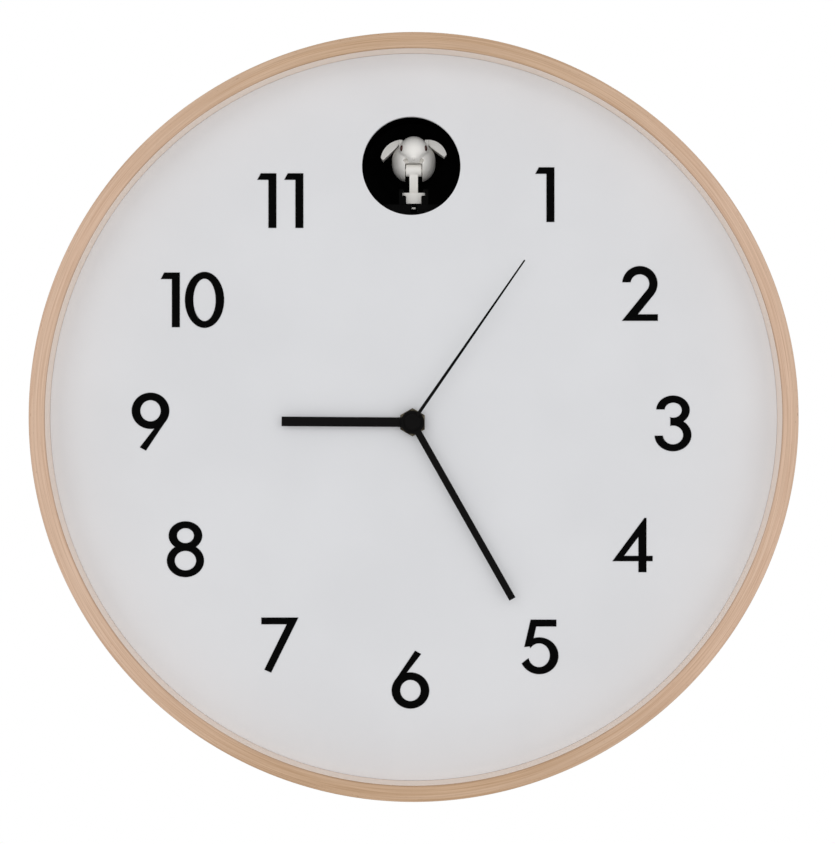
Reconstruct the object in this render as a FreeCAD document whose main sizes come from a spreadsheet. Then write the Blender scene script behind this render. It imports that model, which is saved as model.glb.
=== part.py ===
import FreeCAD, Part
import Sketcher
import math
import os
import re
from FreeCAD import Rotation, Vector

# A cuckoo wall clock: a deep bentwood ring with a white dial set into it, a quartz movement on the dial's
# back, and above it a cuckoo unit whose bird rides out on a rack through a round port.
# Frame: +X right, +Y from the face towards the wall, +Z up. The origin is the end of the hanger's keyhole
# slot, in the wall plane.

doc = FreeCAD.newDocument("cuckoo_clock")

# Driving sizes, in millimetres and degrees. Distances called *_y are measured back from the dial's back face.
SIZES = {
    # bentwood ring and dial
    "ring_radius": 190, "ring_wall": 8, "case_depth": 88, "recess_depth": 22, "edge_round": 0.6,
    "dial_thickness": 4, "fit_gap": 0.1, "support_width": 12, "support_depth": 12,
    "print_x": -1.2, "print_z": -2.9, "numeral_orbit": 129.7, "numeral_height": 27.4, "print_proud": 0.25,
    "port_radius": 24.65, "port_height": 128.7, "axis_x": -0.6, "axis_z": -2.6, "screw_pilot_depth": 2.6,
    # hanger
    "hang_drop": 172, "hanger_half": 20, "hanger_plate_thick": 1.5, "keyhole_radius": 4.0, "slot_radius": 2.2,
    "keyhole_drop": 7.5, "block_half": 40, "block_depth": 16,
    # hands
    "hour_angle": 270.4, "minute_angle": 150.5, "second_angle": 34.7,
    "hour_length": 65.3, "minute_length": 101.2, "second_length": 98.2,
    "hour_width": 4.8, "minute_width": 3.5, "second_width": 1.7, "second_tip_width": 0.8,
    "hub_radius": 5.85, "second_hub_radius": 4.0, "hand_thick": 0.6, "second_thick": 0.4,
    # quartz movement
    "movement_half": 28, "movement_depth": 16, "movement_wall": 1.5, "wheel_room": 0.7, "cell_play": 0.3,
    "movement_half_height": "=movement_wall + cell_play + 2 * aa_radius + 1 - cell_wall_z",
    "cell_wall_z": "=-(60 / 2 + 1) * train_module - wheel_room",
    "bushing_radius": 4.0, "bushing_bore": 2.65, "nut_corner_radius": 7.1, "nut_thick": 2.4,
    "washer_thick": 0.5, "hour_tube_radius": 2.55, "cannon_radius": 1.6, "second_arbor": 0.5,
    "running_gap": 0.05, "train_module": 0.3, "motion_module": 0.4, "second_module": 0.25,
    "rotor_module": 0.2, "aa_radius": 7.1, "aa_length": 49.2,
    # cuckoo unit
    "unit_x": 0, "unit_half": 60, "unit_top": 30, "unit_bottom": -99.5, "unit_depth": 56, "unit_wall": 2,
    "cover_thick": 2, "chamber_radius": 26.4, "chamber_wall": 1.5, "chamber_floor": -19.1,
    "chamber_depth": 52.5, "slot_half": 1.6, "rail_inner": 5.9, "rail_outer": 7.4, "rail_top": -11.4,
    "cell_radius": 13.1, "cell_length": 48, "speaker_x": -32, "speaker_z": -70, "speaker_radius": 25,
    "board_y": 42, "board_thick": 1.6, "knob_radius": 6, "control_x": 44,
    # bird and its drive
    "rack_module": 1, "rack_pitch_z": -21.8, "pinion_teeth": 18, "drive_module": 0.45,
    "pinion_y": 12, "motor_radius": 8, "motor_length": 22, "carriage_front": 6, "carriage_length": 44,
    "block_half_width": 3.85, "ear_half_width": 5.75, "stem_half_width": 2.15, "pivot_y": 15, "pivot_z": -0.8,
    "carriage_low": -18.3, "ear_low": -14.5, "ear_top": -12.8,
    "pivot_radius": 3.1, "bird_half_width": 10.85, "head_half_width": 7.1, "breast_slot_half": 4.33,
}

sheet = doc.addObject("Spreadsheet::Sheet", "sizes")
for row, (alias, size) in enumerate(SIZES.items(), start=1):
    sheet.set(f"A{row}", alias)
    sheet.set(f"B{row}", str(size))
    sheet.setAlias(f"B{row}", alias)
doc.recompute()


class SheetReader:
    """Reads a size from the sheet by its alias, for the shapes that are made in code."""

    def __getattr__(self, alias):
        return float(sheet.get(alias))


size = SheetReader()

# The three places that sub-parts are built around, as formulas of the sheet.
DIAL_BACK = "dial_thickness + recess_depth - case_depth"
CENTRE = ("0", "0", "-hang_drop")
DIAL_CENTRE = ("0", DIAL_BACK, "-hang_drop")
MOVEMENT = ("axis_x", DIAL_BACK, "axis_z - hang_drop")
UNIT = ("unit_x", DIAL_BACK, "print_z + port_height - hang_drop")
HANG_POINT = ("0", "0", "0")

sub_parts = {}


def bind(item, path, formula):
    """Ties a property to a formula of the sheet's aliases."""
    def in_sheet(word):
        return "sizes." + word[0] if word[0] in SIZES else word[0]

    text = re.sub(r"[a-z_]{3,}", in_sheet, str(formula))
    item.setExpression(path, text)


def sub_part(item, label, place, angle=None):
    """Names a finished sub-part and puts it in its place; angle turns it clockwise as seen from the front."""
    item.Label = label
    if angle:
        item.Placement = FreeCAD.Placement(Vector(), Rotation(Vector(0, 1, 0), getattr(size, angle)))
        bind(item, "Placement.Rotation.Angle", angle)
    for axis, formula in zip("xyz", place, strict=True):
        bind(item, f"Placement.Base.{axis}", formula)
    sub_parts[label] = item


# ---------------------------------------------------------------- primitives bound to the sheet


def block(name, x_span, y_span, z_span):
    """A box between two formulas along each axis."""
    item = doc.addObject("Part::Box", name)
    spans = (x_span, y_span, z_span)
    for axis, side, (low, high) in zip("xyz", ("Length", "Width", "Height"), spans, strict=True):
        bind(item, side, f"({high}) - ({low})")
        bind(item, f"Placement.Base.{axis}", low)
    return item


TURNS = {"x": Rotation(Vector(0, 1, 0), 90), "y": Rotation(Vector(1, 0, 0), -90), "z": Rotation()}


def lie_along(item, axis, start, centre):
    """Turns a primitive's own axis along axis, from start, through the two other coordinates in centre."""
    item.Placement = FreeCAD.Placement(Vector(), TURNS[axis])
    others = [letter for letter in "xyz" if letter != axis]
    bind(item, f"Placement.Base.{axis}", start)
    for letter, formula in zip(others, centre, strict=True):
        bind(item, f"Placement.Base.{letter}", formula)


def rod(name, axis, span, centre, radius):
    """A cylinder along an axis, between two formulas."""
    item = doc.addObject("Part::Cylinder", name)
    bind(item, "Radius", radius)
    bind(item, "Height", f"({span[1]}) - ({span[0]})")
    lie_along(item, axis, span[0], centre)
    return item


def cone(name, axis, span, centre, start_radius, end_radius):
    item = doc.addObject("Part::Cone", name)
    bind(item, "Radius1", start_radius)
    bind(item, "Radius2", end_radius)
    bind(item, "Height", f"({span[1]}) - ({span[0]})")
    lie_along(item, axis, span[0], centre)
    return item


def fuse(name, *items):
    item = doc.addObject("Part::MultiFuse", name)
    item.Shapes = list(items)
    return item


def common(name, *items):
    item = doc.addObject("Part::MultiCommon", name)
    item.Shapes = list(items)
    return item


def cut(name, base, *tools):
    item = doc.addObject("Part::Cut", name)
    item.Base = base
    item.Tool = tools[0] if len(tools) == 1 else fuse(name + "_tools", *tools)
    return item


def group(name, *items):
    """Separate solids that share one node."""
    item = doc.addObject("Part::Compound", name)
    item.Links = list(items)
    return item


# ---------------------------------------------------------------- bodies drawn as sketches


def new_sketch(body, name, forward="0"):
    """A sketch across the clock, forward millimetres in front of the body's own XZ plane."""
    sketch = body.newObject("Sketcher::SketchObject", name)
    plane = next(item for item in body.Origin.OriginFeatures if item.Role == "XZ_Plane")
    sketch.AttachmentSupport = (plane, [""])
    sketch.MapMode = "FlatFace"
    bind(sketch, "AttachmentOffset.Base.z", forward)
    return sketch


def fix_point(sketch, item, end, x, z):
    """Ties a point of the sketch to two formulas, measured from the sketch's origin."""
    for kind, formula in (("DistanceX", x), ("DistanceY", z)):
        number = sketch.addConstraint(Sketcher.Constraint(kind, -1, 1, item, end, 1.0))
        bind(sketch, f"Constraints[{number}]", formula)


def draw_circle(sketch, x, z, radius):
    circle = sketch.addGeometry(Part.Circle(Vector(1, 1, 0), Vector(0, 0, 1), 1.0), False)
    number = sketch.addConstraint(Sketcher.Constraint("Radius", circle, 1.0))
    bind(sketch, f"Constraints[{number}]", radius)
    fix_point(sketch, circle, 3, x, z)


def draw_outline(sketch, points):
    """A closed run of straight lines through points given as pairs of formulas."""
    count = len(points)
    around = [Vector(math.cos(math.tau * n / count), math.sin(math.tau * n / count), 0) for n in range(count)]
    lines = [
        sketch.addGeometry(Part.LineSegment(around[n], around[(n + 1) % count]), False) for n in range(count)
    ]
    for n, line in enumerate(lines):
        sketch.addConstraint(Sketcher.Constraint("Coincident", line, 2, lines[(n + 1) % count], 1))
        fix_point(sketch, line, 1, *points[n])


def draw_rectangle(sketch, x_span, z_span):
    corners = [(x_span[0], z_span[0]), (x_span[1], z_span[0]), (x_span[1], z_span[1]), (x_span[0], z_span[1])]
    draw_outline(sketch, corners)


def pad(body, sketch, length):
    """Raises a sketch towards the front."""
    feature = body.newObject("PartDesign::Pad", sketch.Name + "_pad")
    feature.Profile = sketch
    bind(feature, "Length", length)
    sketch.Visibility = False
    return feature


def pocket(body, sketch, length):
    """Sinks a sketch towards the front, and checks that it cuts something."""
    doc.recompute()
    before = body.Shape.Volume
    feature = body.newObject("PartDesign::Pocket", sketch.Name + "_pocket")
    feature.Profile = sketch
    feature.Reversed = True
    bind(feature, "Length", length)
    doc.recompute()
    if body.Shape.Volume > before - 1e-3:
        raise RuntimeError(sketch.Name + " cuts nothing")
    return feature


# ---------------------------------------------------------------- shapes made in code


def shape_part(name, shape):
    item = doc.addObject("Part::Feature", name)
    item.Shape = shape
    return item


def upright(axis, flat_x, flat_z, along):
    """A point of a wheel's plane: across (flat_x), up (flat_z) and along the wheel's axis."""
    return Vector(flat_x, along, flat_z) if axis == "y" else Vector(along, flat_x, flat_z)


def tube(axis, span, outer, bore=0.0):
    """A cylinder or tube about a wheel's own axis."""
    direction = upright(axis, 0, 0, 1)
    base = upright(axis, 0, 0, span[0])
    solid = Part.makeCylinder(outer, span[1] - span[0], base, direction)
    if bore:
        solid = solid.cut(Part.makeCylinder(bore, span[1] - span[0], base, direction))
    return solid


TOOTH_SHARE = 0.21  # half a tooth's width at the pitch circle, as a share of the pitch
TIP_SHARE = 0.35  # the tip's width as a share of the tooth's
ADDENDUM = 0.85
DEDENDUM = 1.15


def gear(axis, span, teeth, module, phase=0.0, bore=0.0):
    """A clock gear with radial flanks and narrowing tips; phase is the angle of one tooth, in radians."""
    pitch_radius = teeth * module / 2
    root = pitch_radius - DEDENDUM * module
    tip = pitch_radius + ADDENDUM * module
    half = TOOTH_SHARE * math.tau / teeth
    edges = []
    corners = []
    for n in range(teeth):
        middle = phase + n * math.tau / teeth
        for radius, angle in ((root, -half), (pitch_radius, -half), (tip, -half * TIP_SHARE),
                              (tip, half * TIP_SHARE), (pitch_radius, half), (root, half)):
            turned = middle + angle
            corners.append(upright(axis, radius * math.cos(turned), radius * math.sin(turned), span[0]))
    for n, corner in enumerate(corners):
        edges.append(Part.LineSegment(corner, corners[(n + 1) % len(corners)]).toShape())
    solid = Part.Face(Part.Wire(edges)).extrude(upright(axis, 0, 0, span[1] - span[0]))
    if bore:
        solid = solid.cut(tube(axis, span, bore))
    return solid


def meshed_phase(direction, teeth, phase, follower_teeth):
    """The phase of a gear that meshes, in a direction, with one that has the given teeth and phase."""
    offset = (phase - direction) * teeth / math.tau
    return direction + math.pi - (offset + 0.5) * math.tau / follower_teeth


def joined(*solids):
    """One solid from several that touch or overlap."""
    return solids[0].multiFuse(list(solids[1:])).removeSplitter()


# ---------------------------------------------------------------- ring, dial and hanger


def make_frame_ring():
    """The laminated bentwood ring."""
    body = doc.addObject("PartDesign::Body", "frame_ring")
    sketch = new_sketch(body, "ring_section")
    draw_circle(sketch, "0", "0", "ring_radius")
    draw_circle(sketch, "0", "0", "ring_radius - ring_wall")
    ring = pad(body, sketch, "case_depth")
    doc.recompute()
    rounding = body.newObject("PartDesign::Fillet", "ring_edges")
    circles = [f"Edge{n + 1}" for n, edge in enumerate(ring.Shape.Edges) if len(edge.Vertexes) == 1]
    rounding.Base = (ring, circles)
    bind(rounding, "Radius", "edge_round")
    sub_part(body, "frame_ring", CENTRE)


SUPPORT_SCREWS = [30, 90, 150, 210, 270, 330]
DIAL_EDGE = "ring_radius - ring_wall - fit_gap"
SUPPORT_SCREW_ORBIT = "(ring_radius - ring_wall - fit_gap - support_width / 2)"
SUPPORT_SPOTS = [
    (f"{SUPPORT_SCREW_ORBIT} * cos({angle})", f"{SUPPORT_SCREW_ORBIT} * sin({angle})")
    for angle in SUPPORT_SCREWS
]
PILOT_RADIUS, SCREW_RADIUS, HEAD_RADIUS = "1.4", "1.35", "2.8"
UNIT_SCREWS = [("-48", "20"), ("48", "20"), ("-48", "-88"), ("48", "-88")]
PORT_Z = "(print_z + port_height)"


def make_dial():
    """The dial: a disc with the bird's port, the movement's hole and blind pilot holes in its back."""
    body = doc.addObject("PartDesign::Body", "dial")
    sketch = new_sketch(body, "dial_outline")
    draw_circle(sketch, "0", "0", DIAL_EDGE)
    draw_circle(sketch, "print_x", PORT_Z, "port_radius")
    draw_circle(sketch, "axis_x", "axis_z", "bushing_radius + 0.3")
    pad(body, sketch, "dial_thickness")
    pilots = new_sketch(body, "dial_pilots")
    for x, z in SUPPORT_SPOTS:
        draw_circle(pilots, x, z, PILOT_RADIUS)
    for x, z in UNIT_SCREWS:
        draw_circle(pilots, f"unit_x + {x}", f"{PORT_Z} + {z}", PILOT_RADIUS)
    pocket(body, pilots, "screw_pilot_depth")
    sub_part(body, "dial", DIAL_CENTRE)


def make_support_ring():
    """The wooden ring behind the dial's rim, glued into the bentwood ring."""
    body = doc.addObject("PartDesign::Body", "dial_support_ring")
    sketch = new_sketch(body, "support_section", "-support_depth")
    draw_circle(sketch, "0", "0", DIAL_EDGE)
    draw_circle(sketch, "0", "0", DIAL_EDGE + " - support_width")
    for x, z in SUPPORT_SPOTS:
        draw_circle(sketch, x, z, "1.6")
    pad(body, sketch, "support_depth")
    sub_part(body, "dial_support_ring", DIAL_CENTRE)


def make_dial_screws():
    """Pan-head screws through the support ring into the dial's back."""
    screws = []
    point, seat = "-screw_pilot_depth + 0.1", "support_depth"
    for n, centre in enumerate(SUPPORT_SPOTS):
        shank = rod(f"dial_screw_shank_{n}", "y", (point, seat), centre, SCREW_RADIUS)
        head = rod(f"dial_screw_head_{n}", "y", (seat, seat + " + 1.8"), centre, HEAD_RADIUS)
        screws.append(fuse(f"dial_screw_{n}", shank, head))
    sub_part(group("dial_screws", *screws), "dial_screws", DIAL_CENTRE)


HANGER_SCREWS = ["-14.5", "14.5"]
HANGER_SCREW_Z = "-3"


def make_hanger_block():
    """Three wooden pieces glued under the ring's top. Two cheeks take the screws, and a web joins them in
    front of the pocket for the wall screw's head."""
    low = "hang_drop - keyhole_drop - 7"
    pocket_half = "(keyhole_radius + 2.5)"
    pilots = [
        rod(f"hanger_pilot_{n}", "y", ("-12.2", "0"), (x, f"hang_drop + {HANGER_SCREW_Z}"), "1.55")
        for n, x in enumerate(HANGER_SCREWS)
    ]
    spans = {
        "left_cheek": (("-block_half", f"-{pocket_half}"), "-hanger_plate_thick"),
        "web": ((f"-{pocket_half}", pocket_half), "-block_depth + 3"),
        "right_cheek": ((pocket_half, "block_half"), "-hanger_plate_thick"),
    }
    pieces = []
    for name, (x_span, back) in spans.items():
        disc = rod(name + "_disc", "y", ("-block_depth", back), ("0", "0"), DIAL_EDGE)
        slice_of = block(name + "_slice", x_span, ("-block_depth - 1", "0"), (low, "ring_radius"))
        pieces.append(common(name, disc, slice_of))
    left = cut("left_drilled", pieces[0], pilots[0])
    right = cut("right_drilled", pieces[2], pilots[1])
    sub_part(group("hanger_block", left, pieces[1], right), "hanger_block", CENTRE)


def make_hanger_plate():
    """The steel keyhole plate, flush with the ring's back edge."""
    thick = ("-hanger_plate_thick", "0")
    plate = block("hanger_sheet", ("-hanger_half", "hanger_half"), thick, ("-keyhole_drop - 6.5", "7.5"))
    entry = rod("keyhole_entry", "y", thick, ("0", "-keyhole_drop"), "keyhole_radius")
    slot = block("keyhole_slot", ("-slot_radius", "slot_radius"), thick, ("-keyhole_drop", "0"))
    slot_end = rod("keyhole_end", "y", thick, ("0", "0"), "slot_radius")
    sinks = [
        cone(f"hanger_sink_{n}", "y", thick, (x, HANGER_SCREW_Z), "1.6", "3.1")
        for n, x in enumerate(HANGER_SCREWS)
    ]
    sub_part(cut("hanger_plate", plate, entry, slot, slot_end, *sinks), "hanger_plate", HANG_POINT)


def make_hanger_screws():
    """Two countersunk wood screws that hold the keyhole plate."""
    screws = []
    for n, x in enumerate(HANGER_SCREWS):
        seat, place = "-hanger_plate_thick", (x, HANGER_SCREW_Z)
        shank = rod(f"hanger_shank_{n}", "y", ("-12", seat), place, "1.5")
        head = cone(f"hanger_head_{n}", "y", (seat, "-0.1"), place, "1.5", "2.9")
        screws.append(fuse(f"hanger_screw_{n}", shank, head))
    sub_part(group("hanger_screws", *screws), "hanger_screws", HANG_POINT)


# ---------------------------------------------------------------- numerals


def slab(points):
    """A printed shape with straight edges."""
    corners = [Vector(x, 0, z) for x, z in points]
    return Part.Face(Part.makePolygon([*corners, corners[0]])).extrude(Vector(0, -size.print_proud, 0))


def oval(x, z, half_width, half_height):
    """A printed oval."""
    wide = half_width >= half_height
    major, minor = max(half_width, half_height), min(half_width, half_height)
    if major == minor:
        curve = Part.Circle(Vector(0, 0, 0), Vector(0, 0, 1), major)
    else:
        curve = Part.Ellipse(Vector(0, 0, 0), major, minor)
    face = Part.Face(Part.Wire(curve.toShape()))
    if not wide:
        face.rotate(Vector(), Vector(0, 0, 1), 90)
    face.rotate(Vector(), Vector(1, 0, 0), 90)
    face.translate(Vector(x, 0, z))
    return face.extrude(Vector(0, -size.print_proud, 0))


def one(x=0.0):
    left, stem, right, foot, flag, head = x - 4.8, x + 0.8, x + 4.8, -13.7, 10.4, 13.7
    return slab([(left, flag), (stem, flag), (stem, foot), (right, foot), (right, head), (x - 3.0, head)])


def zero(x=0.0):
    return oval(x, 0, 9.85, 14.05).cut(oval(x, 0, 5.6, 10.6))


def two():
    """A bowl that runs tangent into a straight diagonal, on a flat base."""
    middle, outer, inner = 4.9, 8.85, 4.7
    corner, base_top = (-9.0, -13.7), -10.4
    rise = middle - corner[1]
    reach = math.hypot(corner[0], rise)
    slope = math.atan2(rise, -corner[0]) - math.asin(inner / reach)
    across = (math.sin(slope), -math.cos(slope))
    inner_touch = (inner * across[0], middle + inner * across[1])
    outer_touch = (outer * across[0], middle + outer * across[1])
    drop = outer_touch[1] - base_top
    diagonal = slab([corner, (9.0, corner[1]), (9.0, base_top),
                     (outer_touch[0] - drop / math.tan(slope), base_top), outer_touch, inner_touch])
    bowl = oval(0, middle, outer, outer).cut(oval(0, middle, inner, inner))
    below = slab([(-12, -14), inner_touch, (0, middle), (0, 5.6), (-12, 5.6)])
    right = slab([(0, middle), outer_touch, (outer_touch[0] * 1.5, middle + 1.5 * (outer_touch[1] - middle)),
                  (-12, -14)])
    return joined(bowl.cut(below).cut(right), diagonal)


def three():
    """Two bowls, both cut flat at the left, and a short middle bar."""
    upper, upper_eye = oval(0, 6.7, 8.4, 7.3), oval(0.1, 6.65, 4.3, 3.75)
    lower, lower_eye = oval(0, -5.76, 9.24, 8.2), oval(0, -5.76, 5.05, 4.7)
    bar_left = -1.35
    mouth = slab([(-12, -6.1), (-3.0, -6.1), (bar_left, -0.85), (bar_left, 2.46), (-3.0, 7.0), (-12, 7.0)])
    return upper.fuse(lower).cut(upper_eye).cut(lower_eye).cut(mouth).removeSplitter()


def four():
    stem, foot, bar, arm = (2.95, 7.0), -13.6, (-8.1, -5.4), 10.1
    outer = slab([(-arm, bar[0]), (6.0, 13.6), (stem[1], 13.6), (stem[1], bar[1]), (arm, bar[1]),
                  (arm, bar[0]), (stem[1], bar[0]), (stem[1], foot), (stem[0], foot), (stem[0], bar[0])])
    return outer.cut(slab([(stem[0], 4.1), (-4.2, bar[1]), (stem[0], bar[1])]))


def five():
    """A top bar, a slanting stroke that ends in a point, and an open bowl."""
    eye = oval(-0.3, -4.2, 5.4, 5.95)
    point, inner_point = (-7.7, -0.1), (-3.4, -4.2)
    mouth = slab([(-14, 9), (-3.2, 9), (-3.2, 4.0), point, (-5.0, 0.2), inner_point,
                  (-6.9, -6.6), (-14, -12.4)])
    bowl = oval(-0.2, -4.45, 9.65, 9.25).cut(eye).cut(mouth)
    top, low = 13.65, 10.2
    stroke = slab([(-4.5, top), (8.4, top), (8.4, low), (-1.7, low), (-3.2, 3.6), (-2.6, 0.9), point])
    return joined(bowl, stroke.cut(eye))


def six():
    """A round bowl with a straight stroke running tangent from its left side."""
    bowl = oval(0, -5.45, 9.45, 9.1)
    eye = oval(0, -5.45, 5.1, 5.3)
    stroke = slab([(2.3, 14.5), (5.37, 12.83), (-2.3, 2.9), (-5.0, -2.0), (-8.6, -1.8), (-7.15, 0.45)])
    return joined(bowl, stroke).cut(eye)


def seven():
    return slab([(-9.3, 13.8), (9.3, 13.8), (-4.4, -13.8), (-7.8, -12.3), (3.4, 10.4), (-9.3, 10.4)])


def eight():
    outside = oval(0, 6.8, 8.43, 7.2).fuse(oval(0, -5.7, 9.32, 8.3))
    return outside.cut(oval(0, 6.8, 4.24, 3.73)).cut(oval(0, -5.7, 5.34, 4.87)).removeSplitter()


def nine():
    figure = six()
    figure.rotate(Vector(), Vector(0, 1, 0), 180)
    return figure


# How far each numeral is set from its place on a regular circle, to look evenly spaced: right and up.
OPTICAL_SHIFTS = {
    1: (2.0, 1.9), 2: (2.1, -0.1), 3: (1.3, -0.3), 4: (-1.6, 3.7), 5: (-0.6, 0.2), 6: (-0.4, 1.2),
    7: (-0.9, 1.1), 8: (-0.7, 1.6), 9: (-0.8, 0.6), 10: (2.7, -3.3), 11: (-0.7, -1.1),
}
DRAWN_HEIGHT = 27.4


def make_numerals():
    """The numerals 1 to 11, printed in a raised layer on the dial; the port stands in for the 12."""
    spread = 6.75
    figures = {
        1: [one()], 2: [two()], 3: [three()], 4: [four()], 5: [five()], 6: [six()], 7: [seven()],
        8: [eight()], 9: [nine()], 10: [one(-2 * spread + 2.5), zero(spread - 0.6)],
        11: [one(-spread), one(spread)],
    }
    scale = size.numeral_height / DRAWN_HEIGHT
    enlarge = FreeCAD.Matrix()
    enlarge.scale(scale, 1, scale)
    solids = []
    for hour, glyphs in figures.items():
        angle = math.radians(30 * hour)
        shift_x, shift_z = OPTICAL_SHIFTS[hour]
        place = Vector(size.numeral_orbit * math.sin(angle) + shift_x, 0,
                       size.numeral_orbit * math.cos(angle) + shift_z)
        for glyph in glyphs:
            scaled = glyph.transformGeometry(enlarge)
            scaled.translate(place)
            solids.extend(scaled.Solids)
    item = shape_part("numerals", Part.makeCompound(solids))
    sub_part(item, "numerals", ("print_x", DIAL_BACK + " - dial_thickness", "print_z - hang_drop"))


# ---------------------------------------------------------------- hands and what holds the movement

NUT_FRONT = "(-dial_thickness - washer_thick - nut_thick)"
# How far each hand's back face stands in front of the nut.
HOUR_HAND_PROUD, MINUTE_HAND_PROUD, SECOND_HAND_PROUD = 1.5, 3.6, 5.9
HOUR_HAND_Y = f"({NUT_FRONT} - {HOUR_HAND_PROUD})"
MINUTE_HAND_Y = f"({NUT_FRONT} - {MINUTE_HAND_PROUD})"
SECOND_HAND_Y = f"({NUT_FRONT} - {SECOND_HAND_PROUD})"


def make_hand(label, hand_y, angle, bore, hub, thick, outline):
    """A flat hand whose blade starts at its hub; hand_y is the hand's back face."""
    body = doc.addObject("PartDesign::Body", label)
    blade = new_sketch(body, label + "_blade")
    draw_outline(blade, outline)
    pad(body, blade, thick)
    disc = new_sketch(body, label + "_hub")
    draw_circle(disc, "0", "0", hub)
    pad(body, disc, thick)
    hole = new_sketch(body, label + "_hole")
    draw_circle(hole, "0", "0", bore)
    pocket(body, hole, thick)
    place = (MOVEMENT[0], f"{DIAL_BACK} + {hand_y}", MOVEMENT[2])
    sub_part(body, label, place, angle)


def blade_outline(width, tip_width, start, length):
    """The hand's blade as four corners, from inside its hub to its tip."""
    root = [(f"-{width} / 2", start), (f"{width} / 2", start)]
    return root + [(f"{tip_width} / 2", length), (f"-{tip_width} / 2", length)]


def make_hands():
    """The hour, minute and second hands, each on its own tube or arbor."""
    inside_hub = "hub_radius / 2"
    hour_blade = blade_outline("hour_width", "hour_width", inside_hub, "hour_length")
    minute_blade = blade_outline("minute_width", "minute_width", inside_hub, "minute_length")
    second_blade = blade_outline("second_width", "second_tip_width", "second_hub_radius / 2", "second_length")
    hub, thick = "hub_radius", "hand_thick"
    hour_bore, minute_bore = "hour_tube_radius + running_gap", "cannon_radius + running_gap"
    second_bore = "second_arbor + running_gap / 2"
    make_hand("hour_hand", HOUR_HAND_Y, "hour_angle", hour_bore, hub, thick, hour_blade)
    make_hand("minute_hand", MINUTE_HAND_Y, "minute_angle", minute_bore, hub, thick, minute_blade)
    make_hand("second_hand", SECOND_HAND_Y, "second_angle", second_bore, "second_hub_radius", "second_thick",
              second_blade)


def make_bushing():
    """The brass bushing that carries the movement in the dial, flanged inside the movement's case."""
    inside = ("movement_wall", "movement_wall + 0.6")
    flange = rod("bushing_flange", "y", inside, ("0", "0"), "bushing_radius + 1.5")
    neck = rod("bushing_neck", "y", (NUT_FRONT + " - 0.8", "movement_wall"), ("0", "0"), "bushing_radius")
    bore = rod("bushing_hole", "y", (NUT_FRONT + " - 1", "movement_wall + 1"), ("0", "0"), "bushing_bore")
    sub_part(cut("threaded_bushing", fuse("bushing_blank", flange, neck), bore), "threaded_bushing", MOVEMENT)


def make_washer():
    """The brass washer under the nut."""
    body = doc.addObject("PartDesign::Body", "washer")
    sketch = new_sketch(body, "washer_section")
    draw_circle(sketch, "0", "0", "nut_corner_radius - 1.1")
    draw_circle(sketch, "0", "0", "bushing_radius + 0.2")
    pad(body, sketch, "washer_thick")
    sub_part(body, "washer", (MOVEMENT[0], DIAL_BACK + " - dial_thickness", MOVEMENT[2]))


def make_nut():
    """The hexagonal nut, one corner up."""
    body = doc.addObject("PartDesign::Body", "hex_nut")
    sketch = new_sketch(body, "nut_section")
    draw_outline(sketch, [(f"nut_corner_radius * sin({60 * n})", f"nut_corner_radius * cos({60 * n})")
                          for n in range(6)])
    draw_circle(sketch, "0", "0", "bushing_radius + running_gap")
    pad(body, sketch, "nut_thick")
    sub_part(body, "hex_nut", (MOVEMENT[0], DIAL_BACK + " - dial_thickness - washer_thick", MOVEMENT[2]))


# ---------------------------------------------------------------- quartz movement

# The wheels' depths behind the dial's back, each as (front, back).
LAYERS = {
    "hour_wheel": (2.3, 3.2), "motion_pinion": (2.3, 4.1), "motion_wheel": (4.1, 5.1),
    "cannon_pinion": (4.0, 5.4), "centre_wheel": (6.2, 7.0), "third_pinion": (6.0, 7.9),
    "third_wheel": (8.05, 8.75), "second_pinion": (7.9, 9.1), "second_wheel": (10.0, 10.7),
    "middle_pinion": (9.8, 11.3), "middle_wheel": (11.4, 12.0), "rotor_pinion": (11.2, 12.3),
    "rotor_magnet": (7.1, 9.0), "middle_plate": (9.25, 9.65), "stator": (7.15, 7.85),
}
TEETH = {
    "centre_wheel": 60, "third_pinion": 8, "third_wheel": 64, "second_pinion": 8, "second_wheel": 40,
    "middle_pinion": 8, "middle_wheel": 48, "rotor_pinion": 8, "cannon_pinion": 10, "motion_wheel": 30,
    "motion_pinion": 8, "hour_wheel": 32, "setting_pinion": 10,
}
PIVOT, MOTION_POST, SETTING_ARBOR = 0.4, 0.6, 1.0
CANNON_STEP = 0.4  # how much thinner the minute cannon is behind its pinion


def spacing(first, second, module):
    """How far apart the arbors of two wheels stand."""
    return (TEETH[first] + TEETH[second]) / 2 * module


def seconds_module():
    """The third wheel and the second pinion stand as far apart as the centre wheel and the third pinion."""
    same = spacing("centre_wheel", "third_pinion", size.train_module)
    return same / spacing("third_wheel", "second_pinion", 1)


def polar(distance, degrees):
    return distance * math.cos(math.radians(degrees)), distance * math.sin(math.radians(degrees))


THIRD_DIRECTION, MIDDLE_DIRECTION, ROTOR_DIRECTION = 150, 60, 40
MOTION_DIRECTION, SETTING_DIRECTION = -20, -15


def train_places():
    """Where the movement's arbors stand, measured from the hands' axis."""
    third = polar(spacing("centre_wheel", "third_pinion", size.train_module), THIRD_DIRECTION)
    middle = polar(spacing("second_wheel", "middle_pinion", size.second_module), MIDDLE_DIRECTION)
    step = polar(spacing("middle_wheel", "rotor_pinion", size.rotor_module), ROTOR_DIRECTION)
    rotor = (middle[0] + step[0], middle[1] + step[1])
    motion = polar(spacing("cannon_pinion", "motion_wheel", size.motion_module), MOTION_DIRECTION)
    step = polar(spacing("motion_wheel", "setting_pinion", size.motion_module), SETTING_DIRECTION)
    setting = (motion[0] + step[0], motion[1] + step[1])
    return {"third": third, "middle": middle, "rotor": rotor, "motion": motion, "setting": setting}


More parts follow.
